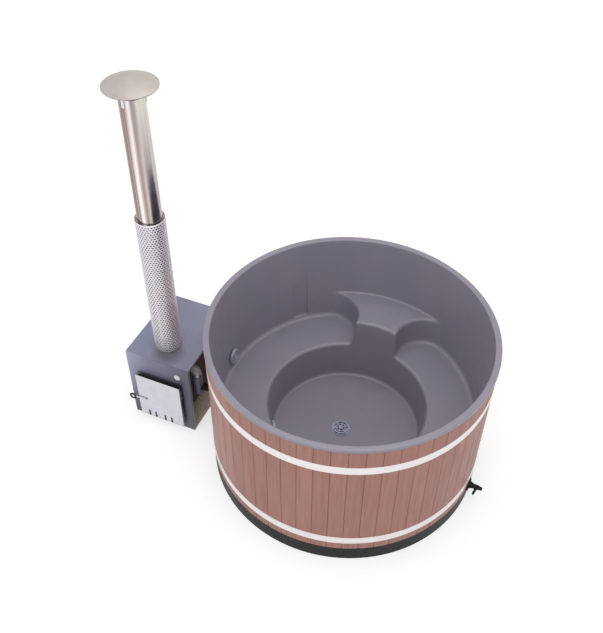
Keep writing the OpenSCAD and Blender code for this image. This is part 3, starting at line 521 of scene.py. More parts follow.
def stave_wood(tones):
    """Oiled cedar: each stave has its own tint, streaks run up it, and its joints are dark."""
    wood, dark = tuple(tones.wood), tuple(tones.wood_dark)
    sizes = bpy.context.scene.hot_tub_staves
    mix = Finish("stave_wood", wood, 0.55, Coat_Weight=0.2, Coat_Roughness=0.35)
    x, y, z = mix.axes()
    pitch = 2 * math.pi / sizes.count
    turn = mix.maths("DIVIDE", mix.minus(mix.maths("ARCTAN2", y, x), sizes.phase), pitch)
    stave = mix.maths("FLOORED_MODULO", mix.maths("FLOOR", turn), sizes.count)
    across = mix.times(mix.maths("FRACT", turn), pitch * sizes.radius)
    draw = mix.chance(stave)
    board = mix.vector(mix.plus(across, mix.times(draw, BOARDS_APART)), mix.hypotenuse(x, y), z)
    grain = mix.noise(90, 5, rough=0.62, stretch=(1, 1, 0.035), vector=board, bend=0.4)
    bands = mix.noise(26, 2, stretch=(1, 1, 0.05), vector=board, bend=0.8)
    fleck = mix.noise(420, 2, rough=0.6, stretch=(1, 1, 0.05), vector=board)
    cloud = mix.noise(2.2, 2, vector=board)
    base = mix.blend(mix.span(grain, 0.35, 0.68), wood, dark)
    base = mix.blend(mix.span(bands, 0.35, 0.75, 0.0, 0.42), base, shaded(wood, 1.14, 1.02, 0.94))
    base = mix.blend(mix.span(fleck, 0.56, 0.78, 0.0, 0.30), base, shaded(dark, 0.72))
    base = mix.blend(mix.span(cloud, 0.3, 0.7, 0.0, 0.25), base, shaded(wood, 1.02, 1.06, 1.16))
    tint = mix.ramp(draw, [(0.0, shaded(wood, 0.80, 0.76, 0.74)), (0.5, wood),
                           (1.0, shaded(wood, 1.18, 1.16, 1.12))])
    mix.colour(mix.blend(0.38, base, tint))
    mix.roughness(mix.span(grain, 0.3, 0.7, 0.48, 0.66))
    mix.relief(grain, 0.0006)
    mix.relief(fleck, 0.0002)
    return mix


def liner_shell(tones):
    """Gel-coated shell: an even grey-violet with faint clouds, a fine orange peel and dull patches."""
    grey = tuple(tones.shell)
    mix = Finish("liner_shell", grey, 0.36, Coat_Weight=0.12, Coat_Roughness=0.22)
    cloud = mix.noise(3.2, 4, rough=0.55)
    speck = mix.noise(900, 1)
    wear = mix.noise(14, 5, rough=0.65, bend=0.6)
    base = mix.blend(mix.span(cloud, 0.35, 0.68), shaded(grey, 0.95), shaded(grey, 1.05, 1.03, 1.02))
    mix.colour(mix.blend(mix.span(speck, 0.45, 0.65, 0.0, 0.10), base, shaded(grey, 1.35)))
    mix.roughness(mix.span(wear, *CLOUD_REACH, 0.30, 0.44))
    mix.relief(mix.noise(160, 2), 0.00012)
    mix.relief(mix.noise(7, 2), 0.0006)
    return mix


def from_flue(mix):
    """The place counted from the flue's axis."""
    sizes = bpy.context.scene.hot_tub_flue
    return mix.axes(mix.mapped((1, 1, 1), location=(-sizes.x, -sizes.y, 0)))


def flue_turn(mix):
    """The angle round the flue, and a place that is drawn out along the flue."""
    x, y, z = from_flue(mix)
    turn = mix.maths("ARCTAN2", y, x)
    return turn, mix.vector(mix.maths("COSINE", turn), mix.maths("SINE", turn), mix.times(z, 0.06))


# What the flue's steel is multiplied by in each kind of painted reflection band
PAINTED_REFLECTION_TINTS = {"brown": (0.36, 0.25, 0.21), "tan": (0.47, 0.34, 0.29), "slate": (0.26, 0.245, 0.30),
           "peach": (0.84, 0.72, 0.70), "mauve": (0.50, 0.38, 0.40), "straw": (0.80, 0.78, 0.68),
           "pale": (1.1,), "white": (1.15,)}
# The painted reflection bands in their order round the pipe, each with its place as a share of a turn from -X
LOWER_PAINTED_REFLECTIONS = (
    (0.0, "peach"), (0.09, "brown"), (0.235, "brown"), (0.262, "white"), (0.287, "white"), (0.307, "tan"),
    (0.33, "tan"), (0.367, "peach"), (0.40, "slate"), (0.455, "slate"), (0.49, "peach"), (0.56, "tan"),
    (0.61, "pale"), (0.70, "peach"), (0.76, "slate"), (0.82, "pale"), (0.90, "tan"), (1.0, "peach"))
UPPER_PAINTED_REFLECTIONS = (
    (0.0, "peach"), (0.09, "brown"), (0.235, "brown"), (0.27, "peach"), (0.29, "white"), (0.315, "mauve"),
    (0.35, "mauve"), (0.385, "straw"), (0.50, "straw"), (0.58, "pale"), (0.66, "tan"), (0.78, "peach"),
    (0.86, "pale"), (1.0, "peach"))


def pipe_steel(tones):
    """Polished stainless pipe with upright bands of painted reflection, which change on the way up."""
    steel = tuple(tones.bright)
    mix = Finish("pipe_steel", steel, 0.2, Metallic=1.0, Anisotropic=0.5)
    turn, around = flue_turn(mix)
    waver = mix.span(mix.noise(5, 2, vector=around), 0.2, 0.8, -0.010, 0.010)
    way = mix.plus(mix.span(turn, -math.pi, math.pi), waver)
    lower, upper = (mix.ramp(way, [(where, shaded(steel, *PAINTED_REFLECTION_TINTS[streak])) for where, streak in reflection_bands])
                    for reflection_bands in (LOWER_PAINTED_REFLECTIONS, UPPER_PAINTED_REFLECTIONS))
    foot, head = top_of("flue_guard"), foot_of("rain_cap")
    bands = mix.blend(mix.span(mix.axes()[2], foot + 0.3 * (head - foot), head - 0.1), lower, upper)
    # Narrow painted highlights laid over the painted reflection bands
    narrow_highlight = mix.noise(5.5, 2, vector=around)
    mix.colour(mix.blend(mix.span(narrow_highlight, 0.45, 0.65, 0.0, 0.3), bands, shaded(steel, 1.05, 1.0, 1.0)))
    mix.roughness(mix.span(mix.noise(12, 4, bend=0.4), *CLOUD_REACH, 0.14, 0.30))
    mix.relief(mix.noise(900, 2, stretch=(1, 1, 0.02)), 0.00003)
    return mix


def guard_steel(tones):
    """Perforated stainless sheet, a little duller than the pipe and brown at its very foot from the heat."""
    steel = tuple(tones.bright)
    mix = Finish("guard_steel", steel, 0.42, Metallic=0.62)
    streak = mix.noise(4.5, 2, vector=flue_turn(mix)[1])
    base = mix.blend(mix.span(streak, *CLOUD_REACH), shaded(steel, 0.98, 0.96, 1.02),
                     shaded(steel, 1.13, 1.12, 1.22))
    foot = foot_of("flue_guard")
    heat = mix.span(mix.axes()[2], foot, foot + 0.05, 0.5, 0.0)
    mix.colour(mix.blend(heat, base, shaded(steel, 0.70, 0.56, 0.50)))
    mix.roughness(mix.span(streak, *CLOUD_REACH, 0.34, 0.48))
    return mix


def cap_steel(tones):
    """Spun stainless cone: fine rings from the spinning, with a thin warm bloom."""
    steel = tuple(tones.bright)
    mix = Finish("cap_steel", steel, 0.55, Metallic=0.6)
    radius = mix.hypotenuse(*from_flue(mix)[:2])
    rings = mix.noise(700, 2, stretch=(1, 0, 0), vector=mix.vector(radius, 0.0, 0.0))
    bloom = mix.span(mix.noise(11, 4, rough=0.6), *CLOUD_REACH)
    mix.colour(mix.blend(bloom, shaded(steel, 0.62, 0.57, 0.52), shaded(steel, 0.68, 0.64, 0.59)))
    mix.roughness(mix.span(rings, 0.35, 0.65, 0.44, 0.58))
    mix.relief(rings, 0.00004)
    return mix


# Painted shade round the door, nearly black, which also stands for soot. It fades twice round the door:
# where each fade starts and ends, and how strong it is
DOOR_SHADE_AND_SOOT = (0.012, 0.010, 0.012)
DOOR_SHADE_FADES = ((0.002, 0.012, 0.7), (0.0, 0.08, 0.12))
# The painted shadow of the flue on the casing's top: its middle from the flue's axis, and where it starts and
# stops fading
FLUE_SHADOW_OFF, FLUE_SHADOW_FADE = (0.045, -0.085), (0.05, 0.125)
# How deep the painted light and shade on the front and the painted flue shadow on the top reach into their
# panels before they are gone
FRONT_SKIN, TOP_SKIN = 0.006, 0.004
# How far the closed door's shield reaches past the door's frame, before it and after it along X and Z
SHIELD_PAST = {0: (0.008, 0.052), 2: (0.026, 0.026)}


def past_shield(mix, value, axis):
    """How far a place is outside the closed door's shield along X (0) or Z (2), by the fixed frame's box."""
    low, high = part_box("door_frame")
    before, after = SHIELD_PAST[axis]
    start, end = low[axis] - before, high[axis] + after
    off = mix.maths("ABSOLUTE", mix.minus(value, (start + end) / 2))
    return mix.maths("MAXIMUM", mix.minus(off, (end - start) / 2), 0.0)


def casing_paint(tones):
    """Powder paint with a fine orange peel and pale dust.

    The front panel has painted light at its left edge, and painted shade towards its right, its foot and its
    lower left corner. Round the door it has a nearly black painted shade that also stands for soot. The top
    has a painted shadow of the flue before the flue's foot.
    """
    paint = tuple(tones.casing)
    mix = Finish("casing_paint", paint, 0.42, Coat_Weight=0.08, Coat_Roughness=0.3)
    x, y, z = mix.axes()
    low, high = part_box("casing_front")
    cloud = mix.noise(5, 4, rough=0.55)
    dust = mix.noise(260, 2, rough=0.7)
    base = mix.blend(mix.span(cloud, *CLOUD_REACH), shaded(paint, 0.92), shaded(paint, 1.06, 1.05, 1.04))
    base = mix.blend(mix.span(dust, 0.62, 0.75, 0.0, 0.18), base, shaded(paint, 1.7))
    # Painted shade in the front panel's lower left corner
    corner_shade = mix.times(mix.span(z, 0.15, 0.26, 0.8, 0.0), mix.span(x, low.x + 0.06, low.x + 0.16, 1.0, 0.0))
    # Painted shade round the door, which also stands for soot, fading with the distance past the shield
    apart = mix.hypotenuse(past_shield(mix, x, 0), past_shield(mix, z, 2))
    door_shade_and_soot = mix.maths("MAXIMUM", *(mix.span(apart, *fade, 0.0) for fade in DOOR_SHADE_FADES))
    front = mix.span(y, low.y + FRONT_SKIN, low.y)
    # On the front: painted light at the left edge, painted shade to the right, at the foot, corner and door
    for amount, colour in (
            (mix.span(x, low.x, low.x + 0.16, 0.6, 0.0), shaded(paint, 2.1)),
            (mix.span(x, low.x + 0.1, high.x, 0.0, 0.82), shaded(paint, 0.32, 0.27, 0.30)),
            (mix.span(z, low.z, high.z, 0.6, 0.0), shaded(paint, 0.3)),
            (corner_shade, shaded(paint, 0.25)),
            (door_shade_and_soot, DOOR_SHADE_AND_SOOT)):
        base = mix.blend(mix.times(front, amount), base, colour)
    flue = bpy.context.scene.hot_tub_flue
    # Painted shadow of the flue on the casing's top, before the flue's foot
    away = mix.hypotenuse(mix.minus(x, flue.x + FLUE_SHADOW_OFF[0]), mix.minus(y, flue.y + FLUE_SHADOW_OFF[1]))
    top = mix.span(z, high.z - TOP_SKIN, high.z)
    painted_flue_shadow = mix.span(away, *FLUE_SHADOW_FADE, 0.62, 0.0)
    mix.colour(mix.blend(mix.times(top, painted_flue_shadow), base, shaded(paint, 0.27, 0.24, 0.18)))
    mix.roughness(mix.span(cloud, 0.3, 0.7, 0.36, 0.5))
    mix.relief(mix.noise(1100, 1), 0.00005)
    return mix


def zinc_sheet(tones):
    """Galvanised sheet with its crystal patches, and ash dust that warms it."""
    zinc = tuple(tones.zinc)
    mix = Finish("zinc_sheet", zinc, 0.55)
    patch = mix.noise(35, 2, rough=0.4, bend=0.8)
    dust = mix.noise(9, 5, rough=0.65)
    base = mix.blend(mix.span(patch, 0.4, 0.6), shaded(zinc, 0.88), shaded(zinc, 1.1))
    mix.colour(mix.blend(mix.span(dust, 0.4, 0.7, 0.0, 0.5), base, shaded(zinc, 1.0, 0.9, 0.8)))
    mix.roughness(mix.span(dust, *CLOUD_REACH, 0.45, 0.7))
    return mix


MAKERS = {maker.__name__: maker for maker in (
    stave_wood, liner_shell, pipe_steel, guard_steel, cap_steel, casing_paint, zinc_sheet)}
MADE = {}


def finish(look):
    """The material of that name, made once and then shared by all pieces that have this look."""
    if look not in MADE:
        tones = bpy.context.scene.hot_tub_tones
        mix = clouded(tones, look, **CLOUDED[look]) if look in CLOUDED else MAKERS[look](tones)
        MADE[look] = mix.material
    return MADE[look]


# --- the moulded liner ---


# Radii of the arcs inside the pad's recess and along its edges, and how steep its sides are
PAD_FILLET, PAD_EDGE, PAD_SLANT = 0.004, 0.003, 0.45
# How far the flank's columns spread past the curve's tip, so that no two of them meet there
FLANK_SPREAD = math.radians(1.6)
# The columns of the liner's grid: over the step, down its flank, and over the bench beside it
STEP_SHARES = (1, 0.86, 0.72, 0.59, 0.47, 0.36, 0.27, 0.19, 0.13, 0.085, 0.05, 0.022)
FLANK_SHARES = (1, 0.951, 0.893, 0.815, 0.717, 0.610, 0.498, 0.380, 0.263, 0.161, 0.083, 0.024, 0)
BENCH_SHARES = (0.02, 0.045, 0.075, 0.11, 0.15, 0.2, 0.26, 0.33, 0.41, 0.5, 0.6, 0.72, 0.86)
FAN_AZ = math.radians(50)
# How far past the pad the even columns start again, and how near two columns are to be one
PAD_MARGIN, SAME_COLUMN = 0.02, math.radians(0.1)
# Closer columns, in millimetres from the pad's middle and in degrees at the two pipes
PAD_OFFSETS = (-62, -57, -54, -52, -50, -47, -42, -20, 0, 20, 42, 47, 50, 52, 54, 57, 62)
PORT_AZ = (-4.5, 4.6, 1.5), (-42, -27.9, 2.0)
# The rows of the liner's grid, in millimetres: radii over the floor, heights over it in its fillet, depths
# under the bench's edge, radii past that edge, radii before the wall, and heights from the pad's foot
FLOOR_ROWS = (60, 120, 180, 240, 300, 350, 400, 440, 455, 463, 471, 478, 484, 489, 493, 496, 498)
FILLET_ROWS = (3, 7, 12, 18, 25, 33, 42)
EDGE_ROWS = (30, 24, 18, 13, 9, 5, 2, 0)
BENCH_ROWS = (2, 5, 9, 13, 18, 24, 30)
BEFORE_ROWS = (60, 50, 41, 33, 26, 19, 13, 8, 4, 0)
PAD_ROWS = (-1.4, -0.7, 0, 0.7, 1.4, 2.2, 4, 8, 13, 23)
# Shares of the way from the bench to the pad's foot, and how far each row at the pad is pushed out before it
# settles, in millimetres
LEDGE_SHARES = (0.16, 0.32, 0.5, 0.66, 0.78, 0.87)
PAD_PUSH = (0, 0, 0, 0, 0, 0, 0, 2, 5, 8, 11, 13, 13, 13, 13, 12)
# How far under the rim the wall's last settled row is and its next one, and the radii of the rim's two arcs
WALL_TOP, RIM_FOOT, RIM_ROLL, RIM_CORNER = 0.050, 0.030, 0.008, 0.006
# Radius of the openings in the liner behind the covers of the fittings
FITTING_HOLE = 0.036


def soft_max(radius, *fields):
    """The largest of the fields, with an arc of that radius where two of them meet.

    Each field is raised by the radius and cut off at nought; the root of the sum of their squares, less the
    radius, is the rounded value wherever any field was left.
    """
    raised = [np.maximum(field + radius, 0) for field in fields]
    total = np.sqrt(sum(part * part for part in raised))
    return np.where(total > 0, total - radius, np.maximum.reduce(fields))


def soft_min(radius, *fields):
    """The smallest of the fields, with an arc of that radius where two of them meet."""
    return -soft_max(radius, *[-field for field in fields])


class LinerShape:
    """The water side of the liner as a field over space, and the grid that is drawn onto it."""

    def __init__(self, sizes):
        self.s = sizes
        self.curve_far = math.hypot(sizes.curve_x, sizes.curve_y)
        self.tip = math.atan2(sizes.curve_y, sizes.curve_x)

    def wall(self, z):
        """Radius of the wall at a height."""
        return self.s.wall_r - self.s.wall_lean * (self.s.rim_z - z)

    def well(self, z):
        """Radius of the foot well's wall at a height."""
        return self.s.well_r + self.s.well_lean * (z - self.s.floor_z)

    def flank(self, z):
        """Half width of the step at a height."""
        return self.s.step_half - self.s.step_lean * (z - self.s.bench_z)

    def from_pad(self, x, y):
        """How far out a place is along the line that the pad faces, and how far sideways from its middle."""
        s = self.s
        cosine, sine = math.cos(s.pad_az), math.sin(s.pad_az)
        return x * cosine + y * sine, np.abs(y * cosine - x * sine - s.pad_shift)

    def water(self, points):
        """Roughly the distance into the water: nought on the shell and less behind it.

        The water is above the floor, inside the wall or the pad, and inside the foot well or above the bench.
        Over the bench it is above the step or beyond its flanks, which run straight out and then round a
        hollow curve to the wall. Every meeting of two of these is an arc of its own radius.
        """
        s = self.s
        x, y, z = np.moveaxis(points, -1, 0)
        side = np.abs(x)
        radius = np.hypot(x, y)
        half = self.flank(z)
        hollow = (s.curve_x - half) - np.hypot(side - s.curve_x, y - s.curve_y)
        straight = np.where(y < s.curve_y, side - half, -1.0)
        flank = np.maximum(np.maximum(hollow, straight), radius * np.sin(self.tip - np.arctan2(y, side)))
        out, along = self.from_pad(x, y)
        pad = soft_min(PAD_FILLET, s.pad_r - out, PAD_SLANT * (s.pad_half - along), z - s.pad_z)
        inside = soft_max(PAD_EDGE, self.wall(z) - radius, pad)
        sides = soft_min(s.top_fillet, soft_max(s.step_edge, z - s.step_z, flank), inside)
        over_bench = soft_min(s.bench_fillet, z - s.bench_z, sides)
        edge = s.bench_edge + (s.step_edge - s.bench_edge) * np.clip(
            (z - s.bench_z) / (s.step_z - s.bench_z), 0, 1)
        room = soft_max(edge, self.well(z) - radius, over_bench)
        return soft_min(s.floor_fillet, room, z - s.floor_z)

    def settle(self, points, rounds=14, reach=0.012, nudge=0.0002):
        """Moves each point down the field's slope until it lies on the shell."""
        for _ in range(rounds):
            value = self.water(points)
            slope = np.stack([
                (self.water(points + nudge * axis) - self.water(points - nudge * axis)) / (2 * nudge)
                for axis in np.eye(3)], axis=-1)
            move = -value / np.maximum((slope * slope).sum(-1), 0.2)
            step = slope * move[..., None]
            size = np.linalg.norm(step, axis=-1, keepdims=True)
            points = points + step * np.minimum(1, reach / np.maximum(size, 1e-9))
        return points

    def curve_azimuth(self, radius, height):
        """Azimuth of the step's flank at a radius: straight up to the curve's centre, then round the arc."""
        s = self.s
        half = self.flank(height)
        bend = s.curve_x - half
        on_line = np.arccos(np.clip(half / radius, -1, 1))
        cosine = (radius ** 2 + self.curve_far ** 2 - bend ** 2) / (2 * radius * self.curve_far)
        on_arc = self.tip + np.arccos(np.clip(cosine, -1, 1))
        spread = self.tip + FLANK_SPREAD * (height - s.bench_z) / (s.step_z - s.bench_z)
        return np.maximum(np.where(radius < np.hypot(half, s.curve_y), on_line, on_arc), spread)


def in_metres(sizes):
    """A column of sizes that are given in millimetres."""
    return np.array(sizes)[:, None] * MM


def liner_columns(shape):
    """One entry for each column of the liner's grid: its height on the step's flank, its azimuth by radius.

    The columns fan out over the step, run along contours of its flanks, fan again over the bench beside it,
    and are even round the rest of the tub, closer at the pad and the pipes.
    """
    s = shape.s

    def fanned(height, part, goal):
        """A column that is this part of the way from the flank at a height to an azimuth."""
        def azimuth(radius):
            flank = shape.curve_azimuth(radius, height)
            return flank + part * (goal - flank)
        return height, azimuth

    def straight(az):
        return s.bench_z, lambda radius: az + 0 * radius

    columns = [fanned(s.step_z, part, math.pi / 2) for part in STEP_SHARES]
    columns += [fanned(s.bench_z + part * (s.step_z - s.bench_z), 0, 0) for part in FLANK_SHARES]
    columns += [fanned(s.bench_z, part, FAN_AZ) for part in BENCH_SHARES]
    even = np.radians(np.arange(50, -90.01, -2.5))
    right = columns + [straight(az) for az in even]
    pad = math.pi - s.pad_az
    close = [pad - math.asin((offset * MM + s.pad_shift) / s.pad_r) for offset in PAD_OFFSETS]
    ports = [np.radians(np.arange(*sweep)) for sweep in PORT_AZ]
    rest = np.concatenate([even[even < min(close) - PAD_MARGIN], [FAN_AZ], close, *ports])
    rest = sorted(set(np.round(rest, 5)), reverse=True)
    kept = [rest[0]]
    for az in rest[1:]:
        if kept[-1] - az > SAME_COLUMN:
            kept.append(az)
    left = columns + [straight(az) for az in kept]
    mirrored = [(height, lambda radius, azimuth=azimuth: math.pi - azimuth(radius))
                for height, azimuth in left]
    return right[:-1] + mirrored[::-1][:-1]


def liner_surface(shape):
    """Points of the liner's water side, row by row from the floor's middle to the foot of the lip.

    Rows run out over the floor, up the foot well, over the bench or the step, up the wall and over the rim.
    The rows up to the rim are then settled onto the shell.
    """
    s = shape.s
    columns = liner_columns(shape)
    height = np.array([entry[0] for entry in columns])

    def around(radius, z, course_r=None):
        """Rows of points at a radius and a height, where the columns are at that radius or another one."""
        course_r = radius if course_r is None else course_r
        az = np.stack([azimuth(course_r[:, k]) for k, (_, azimuth) in enumerate(columns)], axis=1)
        return np.stack([radius * np.cos(az), radius * np.sin(az), z + 0 * radius], axis=-1)

    edge_r, wall_r = shape.well(height), shape.wall(height)
    floor_r = in_metres(FLOOR_ROWS) + 0 * height
    low = s.floor_z + in_metres(FILLET_ROWS)
    below = in_metres(EDGE_ROWS)
    rise = np.linspace(0.12, 0.88, 8)[:, None]
    well_z = np.concatenate([
        low + 0 * height, low[-1] + rise * (height - below[0] - low[-1]), height - below])
    past, before = in_metres(BENCH_ROWS), in_metres(BEFORE_ROWS)
    start, end = edge_r + past[-1], wall_r - before[0]
    run = np.linspace(0, 1, 14)[1:-1, None]
    bench_r = np.concatenate([edge_r + past, start + run * (end - start), wall_r - before])
    ledge = s.pad_z - s.bench_z
    above = np.concatenate([ledge * np.array(LEDGE_SHARES)[:, None], ledge + in_metres(PAD_ROWS)])
    climb = np.linspace(0, 1, 22)[1:, None]
    top = s.rim_z - WALL_TOP
    wall_z = np.concatenate([height + above, height + above[-1] + climb * (top - height - above[-1])])
    wall_rows = around(shape.wall(wall_z), wall_z)
    out, along = shape.from_pad(wall_rows[..., 0], wall_rows[..., 1])
    push = np.concatenate([in_metres(PAD_PUSH), 0.010 * (1 - climb)]) * ((out > 0) & (along < s.pad_half))
    wall_rows[..., :2] *= (1 + push / shape.wall(wall_z))[..., None]
    rows = shape.settle(np.concatenate([
        around(floor_r, s.floor_z, np.maximum(floor_r, edge_r)),
        around(shape.well(well_z), well_z, edge_r + 0 * well_z),
        around(bench_r, height), wall_rows]))
    wall_top = shape.wall(s.rim_z - RIM_ROLL)
    profile = np.concatenate([
        [[shape.wall(s.rim_z - RIM_FOOT), s.rim_z - RIM_FOOT]],
        arc((wall_top + RIM_ROLL, s.rim_z - RIM_ROLL), RIM_ROLL, 180, 90, 6),
        [[0.5 * (wall_top + RIM_ROLL + s.rim_r - RIM_CORNER), s.rim_z]],
        arc((s.rim_r - RIM_CORNER, s.rim_z - RIM_CORNER), RIM_CORNER, 90, 0, 5),
        [[s.rim_r, s.rim_z - s.lip]]])
    return np.concatenate([rows, around(profile[:, :1] + 0 * height, profile[:, 1:])])


def make_liner():
    """The liner: its grid, a fan of triangles at the floor's middle, holes for fittings, and a thickness."""
    sizes = bpy.context.scene.hot_tub_liner
    rows = liner_surface(LinerShape(sizes))
    count = rows.shape[1]
    quads = grid_faces(rows.shape[0], count)
    points = np.concatenate([rows.reshape(-1, 3), [[0, 0, sizes.floor_z]]])
    ring, after = ring_pair(count)
    fan = np.stack([ring, after, np.full(count, len(points) - 1)], axis=1)
    middles = points[quads].mean(axis=1)
    open_faces = np.zeros(len(quads), dtype=bool)
    for node in ("drain_cover", "inlet_grille", "outlet_grille"):
        centre = np.array(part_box(node)).mean(axis=0)
        open_faces |= np.linalg.norm(middles - centre, axis=1) < FITTING_HOLE
    new_piece("moulded_liner", points, [quads[~open_faces], fan], "liner_shell", ["liner"], crease=60,
              sheet=sizes.shell)


# --- the other new shapes ---


def make_staves():
    """All the staves: one section, bevelled at its outer edges, carried up each stave's place round the tub.

    The section is given as (share of the stave's width, radius); its azimuth is the stave's own start plus
    that share of its width, and its x and y are the radius times the cosine and sine.
    """
    sizes = bpy.context.scene.hot_tub_staves
    pitch = 2 * math.pi / sizes.count
    gap = sizes.gap / sizes.radius
    width = pitch - gap
    edge = sizes.bevel / (width * sizes.radius)
    inner, shoulder = sizes.radius - sizes.thickness, sizes.radius - sizes.groove
    shares = np.array([0, edge, 0.27, 0.5, 0.73, 1 - edge, 1, 1, 0.66, 0.33, 0])
    radii = np.array([shoulder] + [sizes.radius] * 5 + [shoulder] + [inner] * 4)
    start = sizes.phase + gap / 2 + pitch * np.arange(sizes.count)
    angle = start[:, None] + width * shares
    section = np.stack([radii * np.cos(angle), radii * np.sin(angle)], axis=-1)
    heights = np.array([foot_of("staves"), top_of("staves")])
    corners = len(radii)
    points = np.concatenate([
        np.broadcast_to(section[:, None], (sizes.count, 2, corners, 2)),
        np.broadcast_to(heights[:, None, None], (sizes.count, 2, corners, 1))], axis=-1)
    foot = np.arange(corners)[None, ::-1]
    head = np.arange(corners)[None, :] + corners
    shift = 2 * corners * np.arange(sizes.count)[:, None, None]
    faces = [(group + shift).reshape(-1, group.shape[1]) for group in (grid_faces(2, corners), foot, head)]
    new_piece("stave_boards", points, faces, "stave_wood", ["staves", "pierced_staves"], crease=25)


def make_guard():
    """The perforated guard: rows of holes, each row shifted by half a hole, wrapped round the flue.

    On the flat sheet each cell is a rectangle with an eight-sided hole in its middle, joined to its four
    corners and the middles of its four sides. The way along the sheet becomes the angle round the guard.
    """
    sizes = bpy.context.scene.hot_tub_flue
    low, high = foot_of("flue_guard"), top_of("flue_guard")
    across = sizes.hole_columns
    wide = 2 * math.pi * sizes.guard_r / across
    hem = 0.010
    # At this share of a hole's place between rows, the six holes round each one are equally far from it
    apart = math.sqrt(0.75)
    rows = round((high - low - 2 * hem) / (wide * apart))
    tall = (high - low - 2 * hem) / rows
    half = wide / 2
    line = np.stack(np.broadcast_arrays(
        half * np.arange(2 * across), low + hem + tall * np.arange(rows + 1)[:, None]), axis=-1)
    row, column = np.meshgrid(np.arange(rows), np.arange(across), indexing="ij")
    shift = row % 2
    side = np.stack([(column + shift / 2) * wide, low + hem + (row + 0.5) * tall], axis=-1)
    spoke = np.pi / 4 * np.arange(8)
    hole = np.stack([side[..., :1] + half + sizes.hole_r * np.cos(spoke),
                     side[..., 1:] + sizes.hole_r * np.sin(spoke)], axis=-1)
    ends = [np.stack([line[0, :, 0], np.full(2 * across, height)], axis=-1) for height in (low, high)]
    flat = np.concatenate([part.reshape(-1, 2) for part in (line, side, hole, *ends)])
    side_at = line.size // 2
    hole_at = side_at + side.size // 2
    ends_at = hole_at + hole.size // 2
    left = 2 * column + shift

    def on_line(level, step):
        return level * 2 * across + (left + step) % (2 * across)

    rim = np.stack([
        side_at + row * across + (column + 1) % across, on_line(row + 1, 2), on_line(row + 1, 1),
        on_line(row + 1, 0), side_at + row * across + column, on_line(row, 0), on_line(row, 1),
        on_line(row, 2)], axis=-1)
    edge = hole_at + 8 * (row * across + column)[..., None] + np.arange(8)
    quads = np.stack([rim, np.roll(rim, -1, -1), np.roll(edge, -1, -1), edge], axis=-1).reshape(-1, 4)
    rings = ring_pair(2 * across)
    hems = [band(*rings, ends_at, 0), band(*rings, rows * 2 * across, ends_at + 2 * across)]
    angle = flat[:, 0] / sizes.guard_r
    points = np.stack([sizes.x + sizes.guard_r * np.cos(angle), sizes.y + sizes.guard_r * np.sin(angle),
                       flat[:, 1]], axis=-1)
    new_piece("perforated_guard", points, [quads, *hems], "guard_steel", ["flue_guard"], crease=60,
              sheet=sizes.sheet)


def make_pipe():
    """The pipe: a profile of radius and height, rounded at its top, turned about the flue's axis."""
    sizes = bpy.context.scene.hot_tub_flue
    low, high = foot_of("flue_pipe"), top_of("flue_pipe")
    outer, inner, half = sizes.pipe_r, sizes.pipe_r - sizes.sheet, sizes.sheet / 2
    section = np.concatenate([
        [[outer, low]], arc(((outer + inner) / 2, high - half), half, 0, 180, 6), [[inner, low]]])
    points = turned_points(section, FLUE_COLUMNS, (sizes.x, sizes.y))
    faces = grid_faces(len(section), FLUE_COLUMNS, closed_rows=True)
    new_piece("flue_tube", points, [faces], "pipe_steel", ["flue_pipe"], crease=50)


def make_cap():
    """The rain cap: a cone that rises as a sine does, over a rolled bead, turned about the flue's axis.

    The profile runs up the outside from under the bead to a point, and down the inside to the bead again.
    """
    sizes = bpy.context.scene.hot_tub_flue
    axis, radius = (sizes.x, sizes.y), sizes.cap_r
    foot, top = foot_of("rain_cap"), top_of("rain_cap")
    bead, sheet, lift, swell = 0.003, 0.0016, 0.005, 1.45
    rim = foot + bead
    slope = np.linspace(0, 1, 9)[1:-1]
    rise = rim + lift + (top - rim - lift) * np.sin(slope * swell) / math.sin(swell)
    above = np.stack([radius * (1 - slope) - MM, rise], axis=1)
    under = above[::-1] - [0.6 * MM, sheet]
    profile = np.concatenate([
        [[radius - 3.5 * MM, rim + bead]], arc((radius - bead, rim), bead, 200, 360, 8),
        [[radius, rim + 4 * MM]], above])
    points = np.concatenate([
        turned_points(profile, FLUE_COLUMNS, axis).reshape(-1, 3), [[*axis, top]],
        turned_points(under, FLUE_COLUMNS, axis).reshape(-1, 3), [[*axis, top - sheet]]])
    tip = len(profile) * FLUE_COLUMNS
    base = tip + 1
    roof = base + len(under) * FLUE_COLUMNS
    ring, after = ring_pair(FLUE_COLUMNS)
    last = tip - FLUE_COLUMNS
    top_fan = np.stack([last + ring, last + after, np.full(FLUE_COLUMNS, tip)], axis=-1)
    under_fan = np.stack([base + after, base + ring, np.full(FLUE_COLUMNS, roof)], axis=-1)
    faces = [grid_faces(len(profile), FLUE_COLUMNS), top_fan, grid_faces(len(under), FLUE_COLUMNS) + base,
             under_fan, band(ring, after, roof - FLUE_COLUMNS, 0)]
    new_piece("rain_cone", points, faces, "cap_steel", ["rain_cap"], crease=50)


